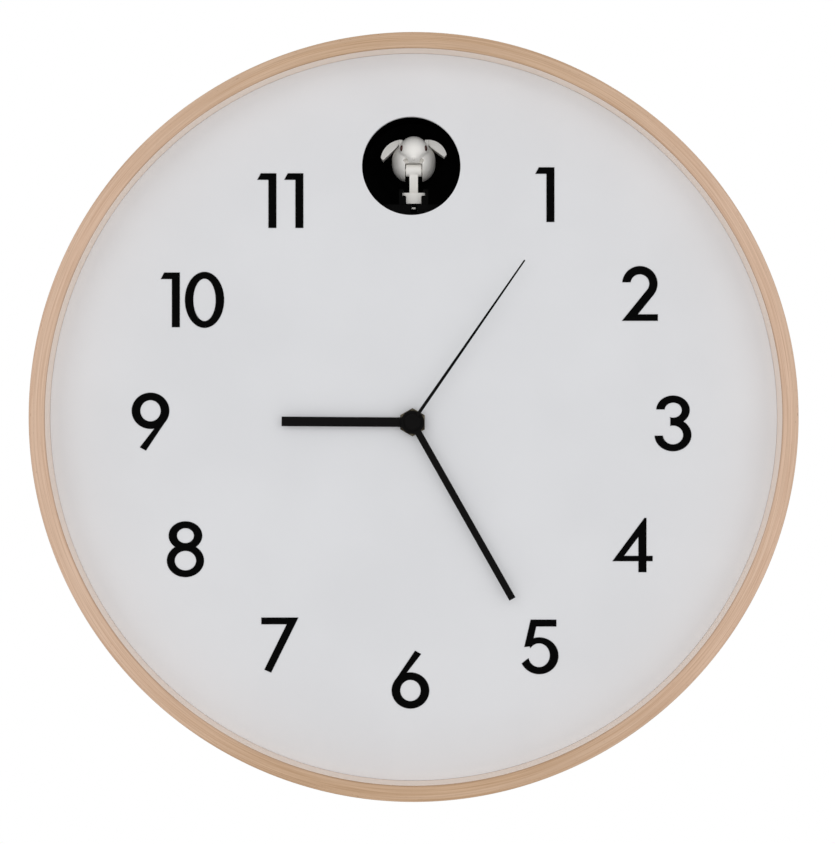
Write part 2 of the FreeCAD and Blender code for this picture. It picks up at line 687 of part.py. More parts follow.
ARBORS = train_places()
COIL_Z, COIL_SPAN, COIL_POSTS = 19.0, (-0.5, 15.1), (-5.0, 19.6)


def spot(name):
    """An arbor's place as formulas, for the primitives."""
    return tuple(f"{value:.4f}" for value in ARBORS[name])


def at_arbor(name):
    """The place of a wheel that turns on an arbor of the movement."""
    x, z = ARBORS[name]
    return (f"{MOVEMENT[0]} + {x:.4f}", MOVEMENT[1], f"{MOVEMENT[2]} + {z:.4f}")


def make_movement_case():
    """The movement's front shell, with the posts and ledges that carry what is inside."""
    half, height = "movement_half", "movement_half_height"
    inner, inner_height = "movement_half - movement_wall", "movement_half_height - movement_wall"
    back = "movement_depth - movement_wall"
    shell = block("movement_shell", (f"-{half}", half), ("0", back), (f"-{height}", height))
    hollow = block("movement_hollow", (f"-({inner})", inner), ("movement_wall", "movement_depth"),
                   (f"-({inner_height})", inner_height))
    wall = block("cell_wall", (f"-({inner})", inner), ("movement_wall", back),
                 ("cell_wall_z - 1", "cell_wall_z"))
    plate_front = LAYERS["middle_plate"][0]
    ledge_deep, ledge_tall = ("movement_wall", plate_front), ("-9", "14")
    ledges = [
        block("left_ledge", (f"-({inner})", f"-({inner}) + 1.5"), ledge_deep, ledge_tall),
        block("right_ledge", (f"{inner} - 1.5", inner), ledge_deep, ledge_tall),
    ]
    posts = [
        rod(f"coil_post_{n}", "y", ("movement_wall", LAYERS["stator"][0]), (x, COIL_Z), "1.1")
        for n, x in enumerate(COIL_POSTS)
    ]
    motion_post = rod("motion_post", "y", ("movement_wall", "5.3"), spot("motion"), str(MOTION_POST))
    third_boss = rod("third_boss", "y", ("movement_wall", "5.4"), spot("third"), "1.2")
    setting_boss = rod("setting_boss", "y", ("movement_wall", "3.6"), spot("setting"), "2.0")
    holes = [
        rod("bushing_seat", "y", ("-1", "2"), ("0", "0"), "bushing_radius + running_gap"),
        rod("third_pivot", "y", ("3.4", "6"), spot("third"), f"{PIVOT} + running_gap"),
        rod("setting_pivot", "y", ("2.2", "6"), spot("setting"), f"{SETTING_ARBOR} + running_gap"),
    ]
    blank = fuse("movement_blank", cut("movement_box", shell, hollow), wall, *ledges, *posts, motion_post,
                 third_boss, setting_boss)
    sub_part(cut("movement_case", blank, *holes), "movement_case", MOVEMENT)


def make_movement_cover():
    """The movement's back cover, with the bosses that the arbors' back pivots turn in."""
    back = "movement_depth - movement_wall"
    plate = block("cover_plate", ("-movement_half", "movement_half"), (back, "movement_depth"),
                  ("cell_wall_z", "movement_half_height"))
    places = [("0", "0"), spot("middle"), spot("rotor")]
    bosses = [rod(f"pivot_boss_{n}", "y", ("13", back), centre, "1.3") for n, centre in enumerate(places)]
    radii = ["second_arbor", str(PIVOT), str(PIVOT)]
    holes = [
        rod(f"pivot_hole_{n}", "y", ("12", back), centre, f"{radius} + running_gap")
        for n, (centre, radius) in enumerate(zip(places, radii, strict=True))
    ]
    knob_hole = rod("setting_hole", "y", ("12", "20"), spot("setting"), f"{SETTING_ARBOR} + running_gap")
    blank = fuse("cover_blank", plate, *bosses)
    sub_part(cut("movement_cover", blank, *holes, knob_hole), "movement_cover", MOVEMENT)


def make_middle_plate():
    """The plate between the third wheel's layer and the second wheel's."""
    body = doc.addObject("PartDesign::Body", "middle_plate")
    sketch = new_sketch(body, "middle_plate_outline")
    half = "movement_half - movement_wall - fit_gap"
    draw_rectangle(sketch, (f"-({half})", half), ("cell_wall_z + 0.2", "14.5"))
    draw_circle(sketch, "0", "0", "second_arbor + running_gap")
    for name, radius in (("third", PIVOT), ("middle", PIVOT), ("rotor", PIVOT), ("setting", SETTING_ARBOR)):
        draw_circle(sketch, *spot(name), f"{radius} + running_gap")
    front, back = LAYERS["middle_plate"]
    pad(body, sketch, f"{back - front:.3f}")
    sub_part(body, "middle_plate", (MOVEMENT[0], f"{DIAL_BACK} + {back}", MOVEMENT[2]))


def make_stator():
    """The stator: a plate around the rotor, two legs and the core that passes through the coil."""
    z = ARBORS["rotor"][1]
    span = tuple(str(value) for value in LAYERS["stator"])
    leg, clear, core_over = 3.0, 0.2, 1.0
    left_x = (COIL_SPAN[0] - clear - leg, COIL_SPAN[0] - clear)
    right_x = (COIL_SPAN[1] + clear, COIL_SPAN[1] + clear + leg)
    core_x = (COIL_POSTS[0] - core_over, COIL_POSTS[1] + core_over)
    low, high = z - 4, COIL_Z + 1

    def flat(name, x_span, z_span):
        return block(name, [f"{value:.3f}" for value in x_span], span, [f"{value:.3f}" for value in z_span])

    eye = rod("rotor_eye", "y", span, spot("rotor"), "2.9")
    plate = flat("stator_plate", (left_x[0], right_x[1]), (low, z + 4))
    left = flat("stator_left", left_x, (low, high))
    right = flat("stator_right", right_x, (low, high))
    core = flat("stator_core", core_x, (COIL_Z - 1, high))
    sub_part(cut("stator", fuse("stator_blank", plate, left, right, core), eye), "stator", MOVEMENT)


def make_coil():
    """The coil: copper wire on a bobbin with two cheeks."""
    middle = f"{sum(LAYERS['stator']) / 2}"
    ends = [str(value) for value in COIL_SPAN]
    winding = rod("coil_winding", "x", ends, (middle, COIL_Z), "3.0")
    cheeks = [
        rod("coil_cheek_left", "x", (ends[0], f"{ends[0]} + 0.8"), (middle, COIL_Z), "3.6"),
        rod("coil_cheek_right", "x", (f"{ends[1]} - 0.8", ends[1]), (middle, COIL_Z), "3.6"),
    ]
    hole = block("coil_hole", (f"{ends[0]} - 1", f"{ends[1]} + 1"), (f"{middle} - 0.4", f"{middle} + 0.4"),
                 (f"{COIL_Z} - 1.05", f"{COIL_Z} + 1.05"))
    sub_part(cut("coil", fuse("coil_blank", winding, *cheeks), hole), "coil", MOVEMENT)


def make_movement_circuit():
    """The movement's circuit board with its chip and crystal can, flat on the case's front wall."""
    board = block("circuit_board", ("-26", "-10"), ("movement_wall", "movement_wall + 1.2"), ("15", "25"))
    chip = rod("circuit_chip", "y", ("movement_wall + 1.2", "movement_wall + 2.2"), ("-15", "19"), "2.5")
    crystal = rod("circuit_crystal", "x", ("-24", "-18"), ("movement_wall + 2.2", "23"), "1")
    sub_part(fuse("movement_circuit", board, chip, crystal), "movement_circuit", MOVEMENT)


AA_AXIS = ("movement_wall + aa_radius + 0.05", "(cell_wall_z - 1 - movement_half_height + movement_wall) / 2")
AA_START = "(movement_half - movement_wall - 0.4 - 1.2 - aa_length)"


def make_aa_cell():
    """The movement's cell, its positive end to the right."""
    can = rod("aa_can", "x", (AA_START, f"{AA_START} + aa_length"), AA_AXIS, "aa_radius")
    nub = rod("aa_nub", "x", (f"{AA_START} + aa_length", f"{AA_START} + aa_length + 1.2"), AA_AXIS, "2.7")
    sub_part(fuse("aa_cell", can, nub), "aa_cell", MOVEMENT)


def make_movement_contacts():
    """The cell's two contacts: a plate at the positive end and a sprung cone at the other."""
    inner = "movement_half - movement_wall"
    z_span = (f"{AA_AXIS[1]} - 5", f"{AA_AXIS[1]} + 5")
    y_span = ("movement_wall", "14")
    plus = block("plus_contact", (f"{inner} - 0.4", inner), y_span, z_span)
    minus_plate = block("minus_plate", (f"-({inner})", f"-({inner}) + 0.4"), y_span, z_span)
    minus_spring = cone("minus_spring", "x", (f"-({inner}) + 0.4", AA_START), AA_AXIS, "4", "2")
    item = group("movement_contacts", plus, fuse("minus_contact", minus_plate, minus_spring))
    sub_part(item, "movement_contacts", MOVEMENT)


def wheel(layer, module, phase, bore=0.0, depth_of=None):
    """A wheel or pinion of the movement, with its own teeth and layer."""
    return gear("y", LAYERS[depth_of or layer], TEETH[layer], module, phase, bore)


def phase_of(follower, direction, leader, leader_phase):
    """The phase of a wheel of the movement that lies in a direction from the one that it meshes with."""
    return meshed_phase(direction, TEETH[leader], leader_phase, TEETH[follower])


def make_seconds_train():
    """Rotor, intermediate wheel, second wheel, third wheel and centre wheel."""
    back = size.movement_depth - size.movement_wall - 0.1
    turn = math.radians

    # The second wheel turns at the hands' axis and everything else is phased from it.
    pinion_phase = turn(THIRD_DIRECTION)
    wheel_phase = turn(MIDDLE_DIRECTION)
    second_front = -(size.dial_thickness + size.washer_thick + size.nut_thick + SECOND_HAND_PROUD
                     + size.second_thick + 0.3)
    second = joined(tube("y", (second_front, back), size.second_arbor),
                    wheel("second_pinion", seconds_module(), pinion_phase),
                    wheel("second_wheel", size.second_module, wheel_phase))
    sub_part(shape_part("second_wheel", second), "second_wheel", MOVEMENT)

    third_phase = phase_of("third_wheel", turn(THIRD_DIRECTION), "second_pinion", pinion_phase)
    small_phase = turn(THIRD_DIRECTION) + math.pi
    third = joined(tube("y", (3.5, 9.6), PIVOT),
                   wheel("third_pinion", size.train_module, small_phase),
                   tube("y", (LAYERS["third_pinion"][1], LAYERS["third_wheel"][0]), 0.9),
                   wheel("third_wheel", seconds_module(), third_phase))
    sub_part(shape_part("third_wheel", third), "third_wheel", at_arbor("third"))

    centre_phase = phase_of("centre_wheel", small_phase, "third_pinion", small_phase)
    centre_bore = size.cannon_radius - CANNON_STEP + size.running_gap
    centre = wheel("centre_wheel", size.train_module, centre_phase, centre_bore)
    sub_part(shape_part("centre_wheel", centre), "centre_wheel", MOVEMENT)

    middle_small = phase_of("middle_pinion", turn(MIDDLE_DIRECTION), "second_wheel", wheel_phase)
    middle_big = turn(ROTOR_DIRECTION)
    middle = joined(tube("y", (9.3, back), PIVOT),
                    wheel("middle_pinion", size.second_module, middle_small),
                    wheel("middle_wheel", size.rotor_module, middle_big),
                    tube("y", (LAYERS["middle_pinion"][1], LAYERS["middle_wheel"][0]), 0.7))
    sub_part(shape_part("intermediate_wheel", middle), "intermediate_wheel", at_arbor("middle"))

    rotor_phase = phase_of("rotor_pinion", turn(ROTOR_DIRECTION), "middle_wheel", middle_big)
    rotor = joined(tube("y", (6.9, back), PIVOT), tube("y", LAYERS["rotor_magnet"], 2.5),
                   wheel("rotor_pinion", size.rotor_module, rotor_phase))
    sub_part(shape_part("rotor", rotor), "rotor", at_arbor("rotor"))


def make_motion_work():
    """Minute cannon, motion wheel, hour wheel and setting knob."""
    gap = size.running_gap
    turn = math.radians
    nut_front = -(size.dial_thickness + size.washer_thick + size.nut_thick)

    cannon_phase = turn(MOTION_DIRECTION)
    minute_front = nut_front - MINUTE_HAND_PROUD - size.hand_thick - 0.2
    cannon = joined(tube("y", (minute_front, 5.6), size.cannon_radius),
                    tube("y", (5.6, 7.1), size.cannon_radius - CANNON_STEP),
                    wheel("cannon_pinion", size.motion_module, cannon_phase))
    cannon = cannon.cut(tube("y", (minute_front - 1, 8), size.second_arbor + gap))
    sub_part(shape_part("minute_cannon", cannon), "minute_cannon", MOVEMENT)

    motion_phase = phase_of("motion_wheel", turn(MOTION_DIRECTION), "cannon_pinion", cannon_phase)
    small_phase = turn(MOTION_DIRECTION) + math.pi
    motion = joined(wheel("motion_wheel", size.motion_module, motion_phase),
                    wheel("motion_pinion", size.motion_module, small_phase))
    motion = motion.cut(tube("y", (0, 10), MOTION_POST + gap))
    sub_part(shape_part("motion_wheel", motion), "motion_wheel", at_arbor("motion"))

    hour_phase = phase_of("hour_wheel", small_phase, "motion_pinion", small_phase)
    hour_front = nut_front - HOUR_HAND_PROUD - size.hand_thick - 0.1
    hour = joined(tube("y", (hour_front, LAYERS["hour_wheel"][1]), size.hour_tube_radius),
                  wheel("hour_wheel", size.motion_module, hour_phase))
    hour = hour.cut(tube("y", (hour_front - 1, 8), size.cannon_radius + gap))
    sub_part(shape_part("hour_wheel", hour), "hour_wheel", MOVEMENT)

    setting_phase = phase_of("setting_pinion", turn(SETTING_DIRECTION), "motion_wheel", motion_phase)
    back = size.movement_depth
    knob = joined(tube("y", (2.3, back + 1), SETTING_ARBOR), tube("y", (back + 0.2, back + 3), 5.0),
                  wheel("setting_pinion", size.motion_module, setting_phase, depth_of="motion_wheel"))
    sub_part(shape_part("setting_knob", knob), "setting_knob", at_arbor("setting"))


# ---------------------------------------------------------------- cuckoo unit: case and contents

COVER_POSTS = [("-54", "24"), ("54", "24"), ("-54", "-93.5"), ("0", "-93.5")]
CELL_BAY_LEFT, BAY_WALL = "5", "1.4"
CELL_BAY_TOP = "(unit_bottom + unit_wall + 4 * cell_radius + 0.1)"
CELL_BAY_FRONT = "(unit_depth - 2 * cell_radius - 1.4)"
LEAD_HOLE = ("12", "-5")


def floored_bore(name, y_span, radius, floor):
    """The bird chamber's outline: a round bore with a flat floor."""
    round_bore = rod(name + "_round", "y", y_span, ("0", "0"), radius)
    above = block(name + "_above", (f"-{radius} - 1", f"{radius} + 1"), y_span, (floor, f"{radius} + 1"))
    return common(name, round_bore, above)


def make_cuckoo_case():
    """The black box that holds the cuckoo unit, moulded in one with the bird's chamber and the cell bay."""
    wide = ("-unit_half", "unit_half")
    inside = ("-unit_half + unit_wall", "unit_half - unit_wall")
    shell = block("unit_shell", wide, ("0", "unit_depth"), ("unit_bottom", "unit_top"))
    hollow = block("unit_hollow", inside, ("unit_wall", "unit_depth + 1"),
                   ("unit_bottom + unit_wall", "unit_top - unit_wall"))
    chamber = floored_bore("chamber_outside", ("0", "chamber_depth + chamber_wall"),
                           "(chamber_radius + chamber_wall)", "chamber_floor - chamber_wall")
    hollow_span = ("-1", "chamber_depth")
    chamber_inside = floored_bore("chamber_inside", hollow_span, "chamber_radius", "chamber_floor")
    rack_slot = block("rack_slot", ("-slot_half", "slot_half"), ("-1", "chamber_depth"),
                      ("rack_pitch_z - rack_module - 0.7", "chamber_floor + 1"))
    deep = ("unit_wall", "unit_depth")
    low = "unit_bottom + unit_wall"
    bay_wide, bay_deep = (CELL_BAY_LEFT, "unit_half - unit_wall"), (CELL_BAY_FRONT, "unit_depth")
    bay_tall = (low, f"{CELL_BAY_TOP} + {BAY_WALL}")
    bay_front = block("bay_front", bay_wide, (CELL_BAY_FRONT, f"{CELL_BAY_FRONT} + 1.3"), bay_tall)
    bay_side = block("bay_side", (CELL_BAY_LEFT, f"{CELL_BAY_LEFT} + {BAY_WALL}"), bay_deep, bay_tall)
    bay_top = block("bay_top", bay_wide, bay_deep, (CELL_BAY_TOP, bay_tall[1]))
    posts = [rod(f"unit_post_{n}", "y", deep, centre, "3") for n, centre in enumerate(COVER_POSTS)]
    pilots = [
        rod(f"unit_pilot_{n}", "y", ("unit_depth - 10", "unit_depth"), centre, "1.2")
        for n, centre in enumerate(COVER_POSTS)
    ]
    screw_holes = [
        rod(f"unit_screw_hole_{n}", "y", ("-1", "3"), centre, "1.6") for n, centre in enumerate(UNIT_SCREWS)
    ]
    lead_hole = rod("lead_hole", "x", ("unit_half - 5", "unit_half + 1"), LEAD_HOLE, "1.2")
    blank = fuse("unit_blank", cut("unit_box", shell, hollow), chamber, bay_front, bay_side, bay_top, *posts)
    item = cut("cuckoo_case", blank, chamber_inside, rack_slot, *pilots, *screw_holes, lead_hole)
    sub_part(item, "cuckoo_case", UNIT)


DOOR_X = ("8", "56.5")
DOOR_Z = ("unit_bottom + 5", CELL_BAY_TOP + " - 2")
DOOR_AXIS = ("unit_depth + cover_thick - 1.2", CELL_BAY_TOP + " - 3.3")
DOOR_GAP, PIN_LENGTH, PIN_RADIUS = "0.4", "5", "0.5"
BUTTON_Z, SWITCH_Z, KNOB_Z = "-15", "-3", "10"
BOARD_POSTS = [("34", "-18"), ("54", "-18"), ("34", "15.5"), ("54", "15.5")]
GRILLE_ROWS = [(0, 1), (6, 6), (12, 12), (18, 18)]  # radius of each row of holes and how many it has


def make_back_cover():
    """The unit's back: loudspeaker grille, battery opening, control holes and posts for the board."""
    body = doc.addObject("PartDesign::Body", "back_cover")
    plate = new_sketch(body, "cover_outline")
    draw_rectangle(plate, ("-unit_half", "unit_half"), ("unit_bottom", "unit_top"))
    draw_rectangle(plate, DOOR_X, DOOR_Z)
    for radius, count in GRILLE_ROWS:
        for n in range(count):
            x, z = f"{radius} * cos({360 * n / count})", f"{radius} * sin({360 * n / count})"
            draw_circle(plate, f"speaker_x + {x}", f"speaker_z + {z}", "1.5")
    for x, z in COVER_POSTS:
        draw_circle(plate, x, z, "1.6")
    draw_circle(plate, "control_x", KNOB_Z, "knob_radius + 0.3")
    draw_circle(plate, "control_x", BUTTON_Z, "2.8")
    draw_rectangle(plate, ("control_x - 5", "control_x + 5"), (f"{SWITCH_Z} - 1.8", f"{SWITCH_Z} + 1.8"))
    pad(body, plate, "cover_thick")
    posts = new_sketch(body, "board_posts", "cover_thick")
    for x, z in BOARD_POSTS:
        draw_circle(posts, x, z, "1.8")
    pad(body, posts, "unit_depth - board_y - board_thick")
    sub_part(body, "back_cover", (UNIT[0], f"{DIAL_BACK} + unit_depth + cover_thick", UNIT[2]))


def make_hinge_pins():
    """Two steel pins in the cover's sides, on which the battery door swings."""
    left = rod("left_door_pin", "x", (DOOR_X[0], f"{DOOR_X[0]} + {PIN_LENGTH}"), DOOR_AXIS, PIN_RADIUS)
    right = rod("right_door_pin", "x", (f"{DOOR_X[1]} - {PIN_LENGTH}", DOOR_X[1]), DOOR_AXIS, PIN_RADIUS)
    sub_part(group("door_pins", left, right), "door_pins", UNIT)


def make_battery_door():
    """The battery door with a hinge barrel along its upper edge."""
    y_span = ("unit_depth", "unit_depth + cover_thick")
    wide = (f"{DOOR_X[0]} + {DOOR_GAP}", f"{DOOR_X[1]} - {DOOR_GAP}")
    leaf = block("door_leaf", wide, y_span, (f"{DOOR_Z[0]} + {DOOR_GAP}", DOOR_AXIS[1]))
    corner = block("door_corner", (DOOR_X[0], DOOR_X[1]), ("unit_depth - 1", DOOR_AXIS[0]),
                   (f"{DOOR_AXIS[1]} - 0.8", DOOR_Z[1]))
    barrel = rod("door_barrel", "x", wide, DOOR_AXIS, "1.1")
    bore, deep = f"{PIN_RADIUS} + running_gap", f"{PIN_LENGTH} + 0.3"
    bores = [
        rod("left_door_bore", "x", (DOOR_X[0], f"{DOOR_X[0]} + {deep}"), DOOR_AXIS, bore),
        rod("right_door_bore", "x", (f"{DOOR_X[1]} - ({deep})", DOOR_X[1]), DOOR_AXIS, bore),
    ]
    item = cut("battery_door", fuse("door_blank", cut("door_panel", leaf, corner), barrel), *bores)
    sub_part(item, "battery_door", UNIT)


CELL_Y = "(unit_depth - 0.1 - cell_radius)"
CELL_START = "7.6"


def make_c_cells():
    """Two round cells, one above the other."""
    cells = []
    for n in range(2):
        axis = (CELL_Y, f"unit_bottom + unit_wall + 0.05 + {2 * n + 1} * cell_radius")
        cell_end = f"{CELL_START} + cell_length"
        can = rod(f"cell_can_{n}", "x", (CELL_START, cell_end), axis, "cell_radius - 0.05")
        nub = rod(f"cell_nub_{n}", "x", (cell_end, f"{cell_end} + 1.8"), axis, "3.3")
        cells.append(fuse(f"cell_{n}", can, nub))
    sub_part(group("c_cells", *cells), "c_cells", UNIT)


def make_cell_contacts():
    """Sprung cones at the cells' negative ends and plates at the positive ones."""
    pieces = []
    left, right = f"{CELL_BAY_LEFT} + {BAY_WALL}", "unit_half - unit_wall"
    for n in range(2):
        axis = (CELL_Y, f"unit_bottom + unit_wall + 0.05 + {2 * n + 1} * cell_radius")
        y_span, z_span = (f"{CELL_Y} - 6", f"{CELL_Y} + 6"), (f"{axis[1]} - 6", f"{axis[1]} + 6")
        plate = block(f"minus_leaf_{n}", (left, f"{left} + 0.4"), y_span, z_span)
        spring = cone(f"minus_cone_{n}", "x", (f"{left} + 0.4", CELL_START), axis, "5", "3")
        pieces.append(fuse(f"minus_cell_{n}", plate, spring))
        pieces.append(block(f"plus_leaf_{n}", (f"{right} - 0.4", right), y_span, z_span))
    sub_part(group("cell_contacts", *pieces), "cell_contacts", UNIT)


def make_speaker():
    """The loudspeaker, facing the grille: rim, cone and magnet."""
    axis = ("speaker_x", "speaker_z")
    rim = rod("speaker_rim", "y", ("unit_depth - 3", "unit_depth"), axis, "speaker_radius")
    basket = cone("speaker_basket", "y", ("unit_depth - 12", "unit_depth - 3"), axis, "11", "22.5")
    magnet = rod("speaker_magnet", "y", ("unit_depth - 20", "unit_depth - 12"), axis, "12")
    hollow = cone("speaker_hollow", "y", ("unit_depth - 9", "unit_depth + 0.01"), axis, "8", "22")
    item = cut("speaker", fuse("speaker_blank", rim, basket, magnet), hollow)
    sub_part(item, "speaker", UNIT)


def make_sound_board():
    """The sound board, with the bodies of the volume control, the switch and the test button on its back."""
    face = "board_y + board_thick"
    board = block("board_sheet", ("31", "57"), ("board_y", face), ("-22", "19"))
    pot = rod("volume_pot", "y", (face, f"{face} + 6"), ("control_x", KNOB_Z), "5")
    switch = block("switch_body", ("control_x - 5", "control_x + 5"), (face, f"{face} + 8"),
                   (f"{SWITCH_Z} - 2.5", f"{SWITCH_Z} + 2.5"))
    button = block("button_body", ("control_x - 3", "control_x + 3"), (face, f"{face} + 7"),
                   (f"{BUTTON_Z} - 3", f"{BUTTON_Z} + 3"))
    chip = block("sound_chip", ("36", "50"), ("board_y - 2", "board_y"), ("4", "14"))
    sub_part(fuse("sound_board", board, pot, switch, button, chip), "sound_board", UNIT)


def make_controls():
    """Volume knob, mode switch and test button, all reached from the back."""
    face = "board_y + board_thick"
    knob = rod("knob_disc", "y", ("unit_depth - 2", "unit_depth + 4"), ("control_x", KNOB_Z), "knob_radius")
    stem = rod("knob_stem", "y", (f"{face} + 6.1", "unit_depth - 2"), ("control_x", KNOB_Z), "3")
    mark = block("knob_mark", ("control_x - 0.5", "control_x + 0.5"), ("unit_depth + 3.3", "unit_depth + 5"),
                 (f"{KNOB_Z} + 1", f"{KNOB_Z} + 7"))
    sub_part(cut("volume_knob", fuse("knob_blank", knob, stem), mark), "volume_knob", UNIT)

    slider = block("switch_slider", ("control_x - 4", "control_x"), (f"{face} + 8.1", "unit_depth + 3.4"),
                   (f"{SWITCH_Z} - 1.4", f"{SWITCH_Z} + 1.4"))
    sub_part(group("switch_piece", slider), "mode_switch", UNIT)

    cap = rod("button_cap", "y", (f"{face} + 8.7", "unit_depth + 3.6"), ("control_x", BUTTON_Z), "2.5")
    sub_part(group("button_piece", cap), "test_button", UNIT)


def make_screw_sets():
    """The four screws that hold the unit to the dial and the four that hold its cover."""
    unit_screws = []
    for n, centre in enumerate(UNIT_SCREWS):
        shank = rod(f"unit_shank_{n}", "y", ("-screw_pilot_depth + 0.1", "unit_wall"), centre, "1.35")
        head = rod(f"unit_head_{n}", "y", ("unit_wall", "unit_wall + 1.8"), centre, "2.8")
        unit_screws.append(fuse(f"unit_screw_{n}", shank, head))
    sub_part(group("unit_screws", *unit_screws), "unit_screws", UNIT)

    cover_screws = []
    for n, centre in enumerate(COVER_POSTS):
        seat = "unit_depth + cover_thick"
        shank = rod(f"cover_shank_{n}", "y", ("unit_depth - 8", seat), centre, "1.15")
        head = rod(f"cover_head_{n}", "y", (seat, f"{seat} + 1.6"), centre, "2.6")
        cover_screws.append(fuse(f"cover_screw_{n}", shank, head))
    sub_part(group("cover_screws", *cover_screws), "cover_screws", UNIT)


def make_trigger_lead():
    """The two-core lead that tells the sound board the hour: straight runs joined by tangent arcs."""
    radius, bend = 0.8, 7.5
    movement_up = size.axis_z - size.print_z - size.port_height
    movement_across = size.axis_x - size.unit_x
    side = movement_across + size.movement_half
    route = [Vector(side, 12, movement_up + 16), Vector(70, 12, movement_up + 16), Vector(70, 12, -5),
             Vector(45, 12, -5), Vector(45, size.board_y, -5)]
    edges = []
    start = route[0]
    for before, corner, after in zip(route, route[1:], route[2:], strict=False):
        arrive = corner + (before - corner).normalize() * bend
        leave = corner + (after - corner).normalize() * bend
        centre = arrive + (leave - corner)
        middle = centre + (corner - centre).normalize() * bend
        edges.append(Part.LineSegment(start, arrive).toShape())
        edges.append(Part.Arc(arrive, middle, leave).toShape())
        start = leave
    edges.append(Part.LineSegment(start, route[-1]).toShape())
    path = Part.Wire(edges)
    section = Part.Wire(Part.Circle(route[0], Vector(1, 0, 0), radius).toShape())
    lead = path.makePipeShell([section], True, False)
    print(f"lead {path.Length:.1f} mm, volume ratio {lead.Volume / (math.pi * radius**2 * path.Length):.4f}")
    sub_part(shape_part("trigger_lead", lead), "trigger_lead", UNIT)


# ---------------------------------------------------------------- cuckoo unit: drive and bird

RACK_RUN = 8  # the pinion's place from the rack's first full tooth, at rest
SHAFT_A, SHAFT_B = 1.5, 1.0
REDUCTION_TEETH, SMALL_TEETH, MOTOR_TEETH = 40, 10, 8


def drive_places():
    """The drive's three shafts, each as (y, z) in the unit."""
    z = size.rack_pitch_z - size.pinion_teeth * size.rack_module / 2
    reduction = size.pinion_y + (REDUCTION_TEETH + SMALL_TEETH) / 2 * size.drive_module
    motor = reduction + (REDUCTION_TEETH + MOTOR_TEETH) / 2 * size.drive_module
    return {"pinion": (size.pinion_y, z), "reduction": (reduction, z), "motor": (motor, z)}


SHAFTS = drive_places()
GEAR_A, GEAR_B = (9.0, 11.0), (12.0, 14.0)  # where the two reductions lie across the unit


def at_shaft(name):
    y, z = SHAFTS[name]
    return (UNIT[0], f"{UNIT[1]} + {y:.4f}", f"{UNIT[2]} + {z:.4f}")


def make_guide_rails():
    """Two black channels that the carriage's ears slide in."""
    rails = []
    run = ("0.3", "chamber_depth - 0.3")
    for n, sign in enumerate((-1, 1)):

        def across(inner, outer, sign=sign):
            return (inner, outer) if sign > 0 else (f"-({outer})", f"-({inner})")

        wall = block(f"rail_wall_{n}", across("rail_inner", "rail_outer"), run, ("chamber_floor", "rail_top"))
        ledge = block(f"rail_ledge_{n}", across("rail_inner - 1.8", "rail_inner"), run,
                      ("chamber_floor", "rail_top - 3.2"))
        lip = block(f"rail_lip_{n}", across("rail_inner - 1", "rail_inner"), run,
                    ("rail_top - 1.2", "rail_top"))
        rails.append(fuse(f"rail_{n}", wall, ledge, lip))
    sub_part(group("guide_rails", *rails), "guide_rails", UNIT)


def make_carriage():
    """The white carriage: a block with ears, a stem and the round knuckle that the bird nods on."""
    run = ("carriage_front", "carriage_front + carriage_length")
    base = block("carriage_block", ("-block_half_width", "block_half_width"), run, ("carriage_low", "ear_low"))
    ears = block("carriage_ears", ("-ear_half_width", "ear_half_width"), run, ("ear_low", "ear_top"))
    stem = block("carriage_stem", ("-stem_half_width", "stem_half_width"), ("pivot_y - 2.1", "pivot_y + 2.1"),
                 ("ear_top", "pivot_z"))
    knuckle = rod("carriage_knuckle", "x", ("-block_half_width - 0.1", "block_half_width + 0.1"),
                  ("pivot_y", "pivot_z"), "pivot_radius")
    bore = rod("knuckle_bore", "x", ("-5", "5"), ("pivot_y", "pivot_z"), "1")
    item = cut("bird_carriage", fuse("carriage_blank", base, ears, stem, knuckle), bore)
    sub_part(item, "bird_carriage", UNIT)


NOSE_DROP = 2.9  # how far the rack's nose reaches below the carriage
KEY_DROP = (2.75, 1.85)


def make_rack():
    """The toothed rack under the carriage, with a pale key let into its nose."""
    half, module, pitch_z = 1.2, size.rack_module, size.rack_pitch_z
    root, tip = pitch_z + DEDENDUM * module, pitch_z - ADDENDUM * module
    front, length = size.carriage_front, size.carriage_length
    tooth_from = size.pinion_y - RACK_RUN / 2
    top = size.carriage_low
    spine = Part.makeBox(2 * half, length, top - root, Vector(-half, front, root))
    nose = Part.makeBox(2 * half, 2.5, NOSE_DROP, Vector(-half, front, top - NOSE_DROP))
    pitch = math.pi * module
    thick = TOOTH_SHARE * pitch
    teeth = []
    count = int((front + length - size.pinion_y) / pitch)
    for n in range(-1, count):
        middle = size.pinion_y + (n + 0.5) * pitch
        profile = [(middle - thick, root + 0.1), (middle - thick, pitch_z), (middle - thick * TIP_SHARE, tip),
                   (middle + thick * TIP_SHARE, tip), (middle + thick, pitch_z), (middle + thick, root + 0.1)]
        corners = [Vector(-half, y, z) for y, z in profile]
        if profile[0][0] >= tooth_from:
            teeth.append(Part.Face(Part.makePolygon([*corners, corners[0]])).extrude(Vector(2 * half, 0, 0)))
    key = Part.makeBox(1.9, 2.0, KEY_DROP[0] - KEY_DROP[1], Vector(-0.95, front, top - KEY_DROP[0]))
    sub_part(shape_part("rack", joined(spine, nose, *teeth).cut(key)), "rack", UNIT)
    sub_part(shape_part("rack_key", key), "rack_key", UNIT)


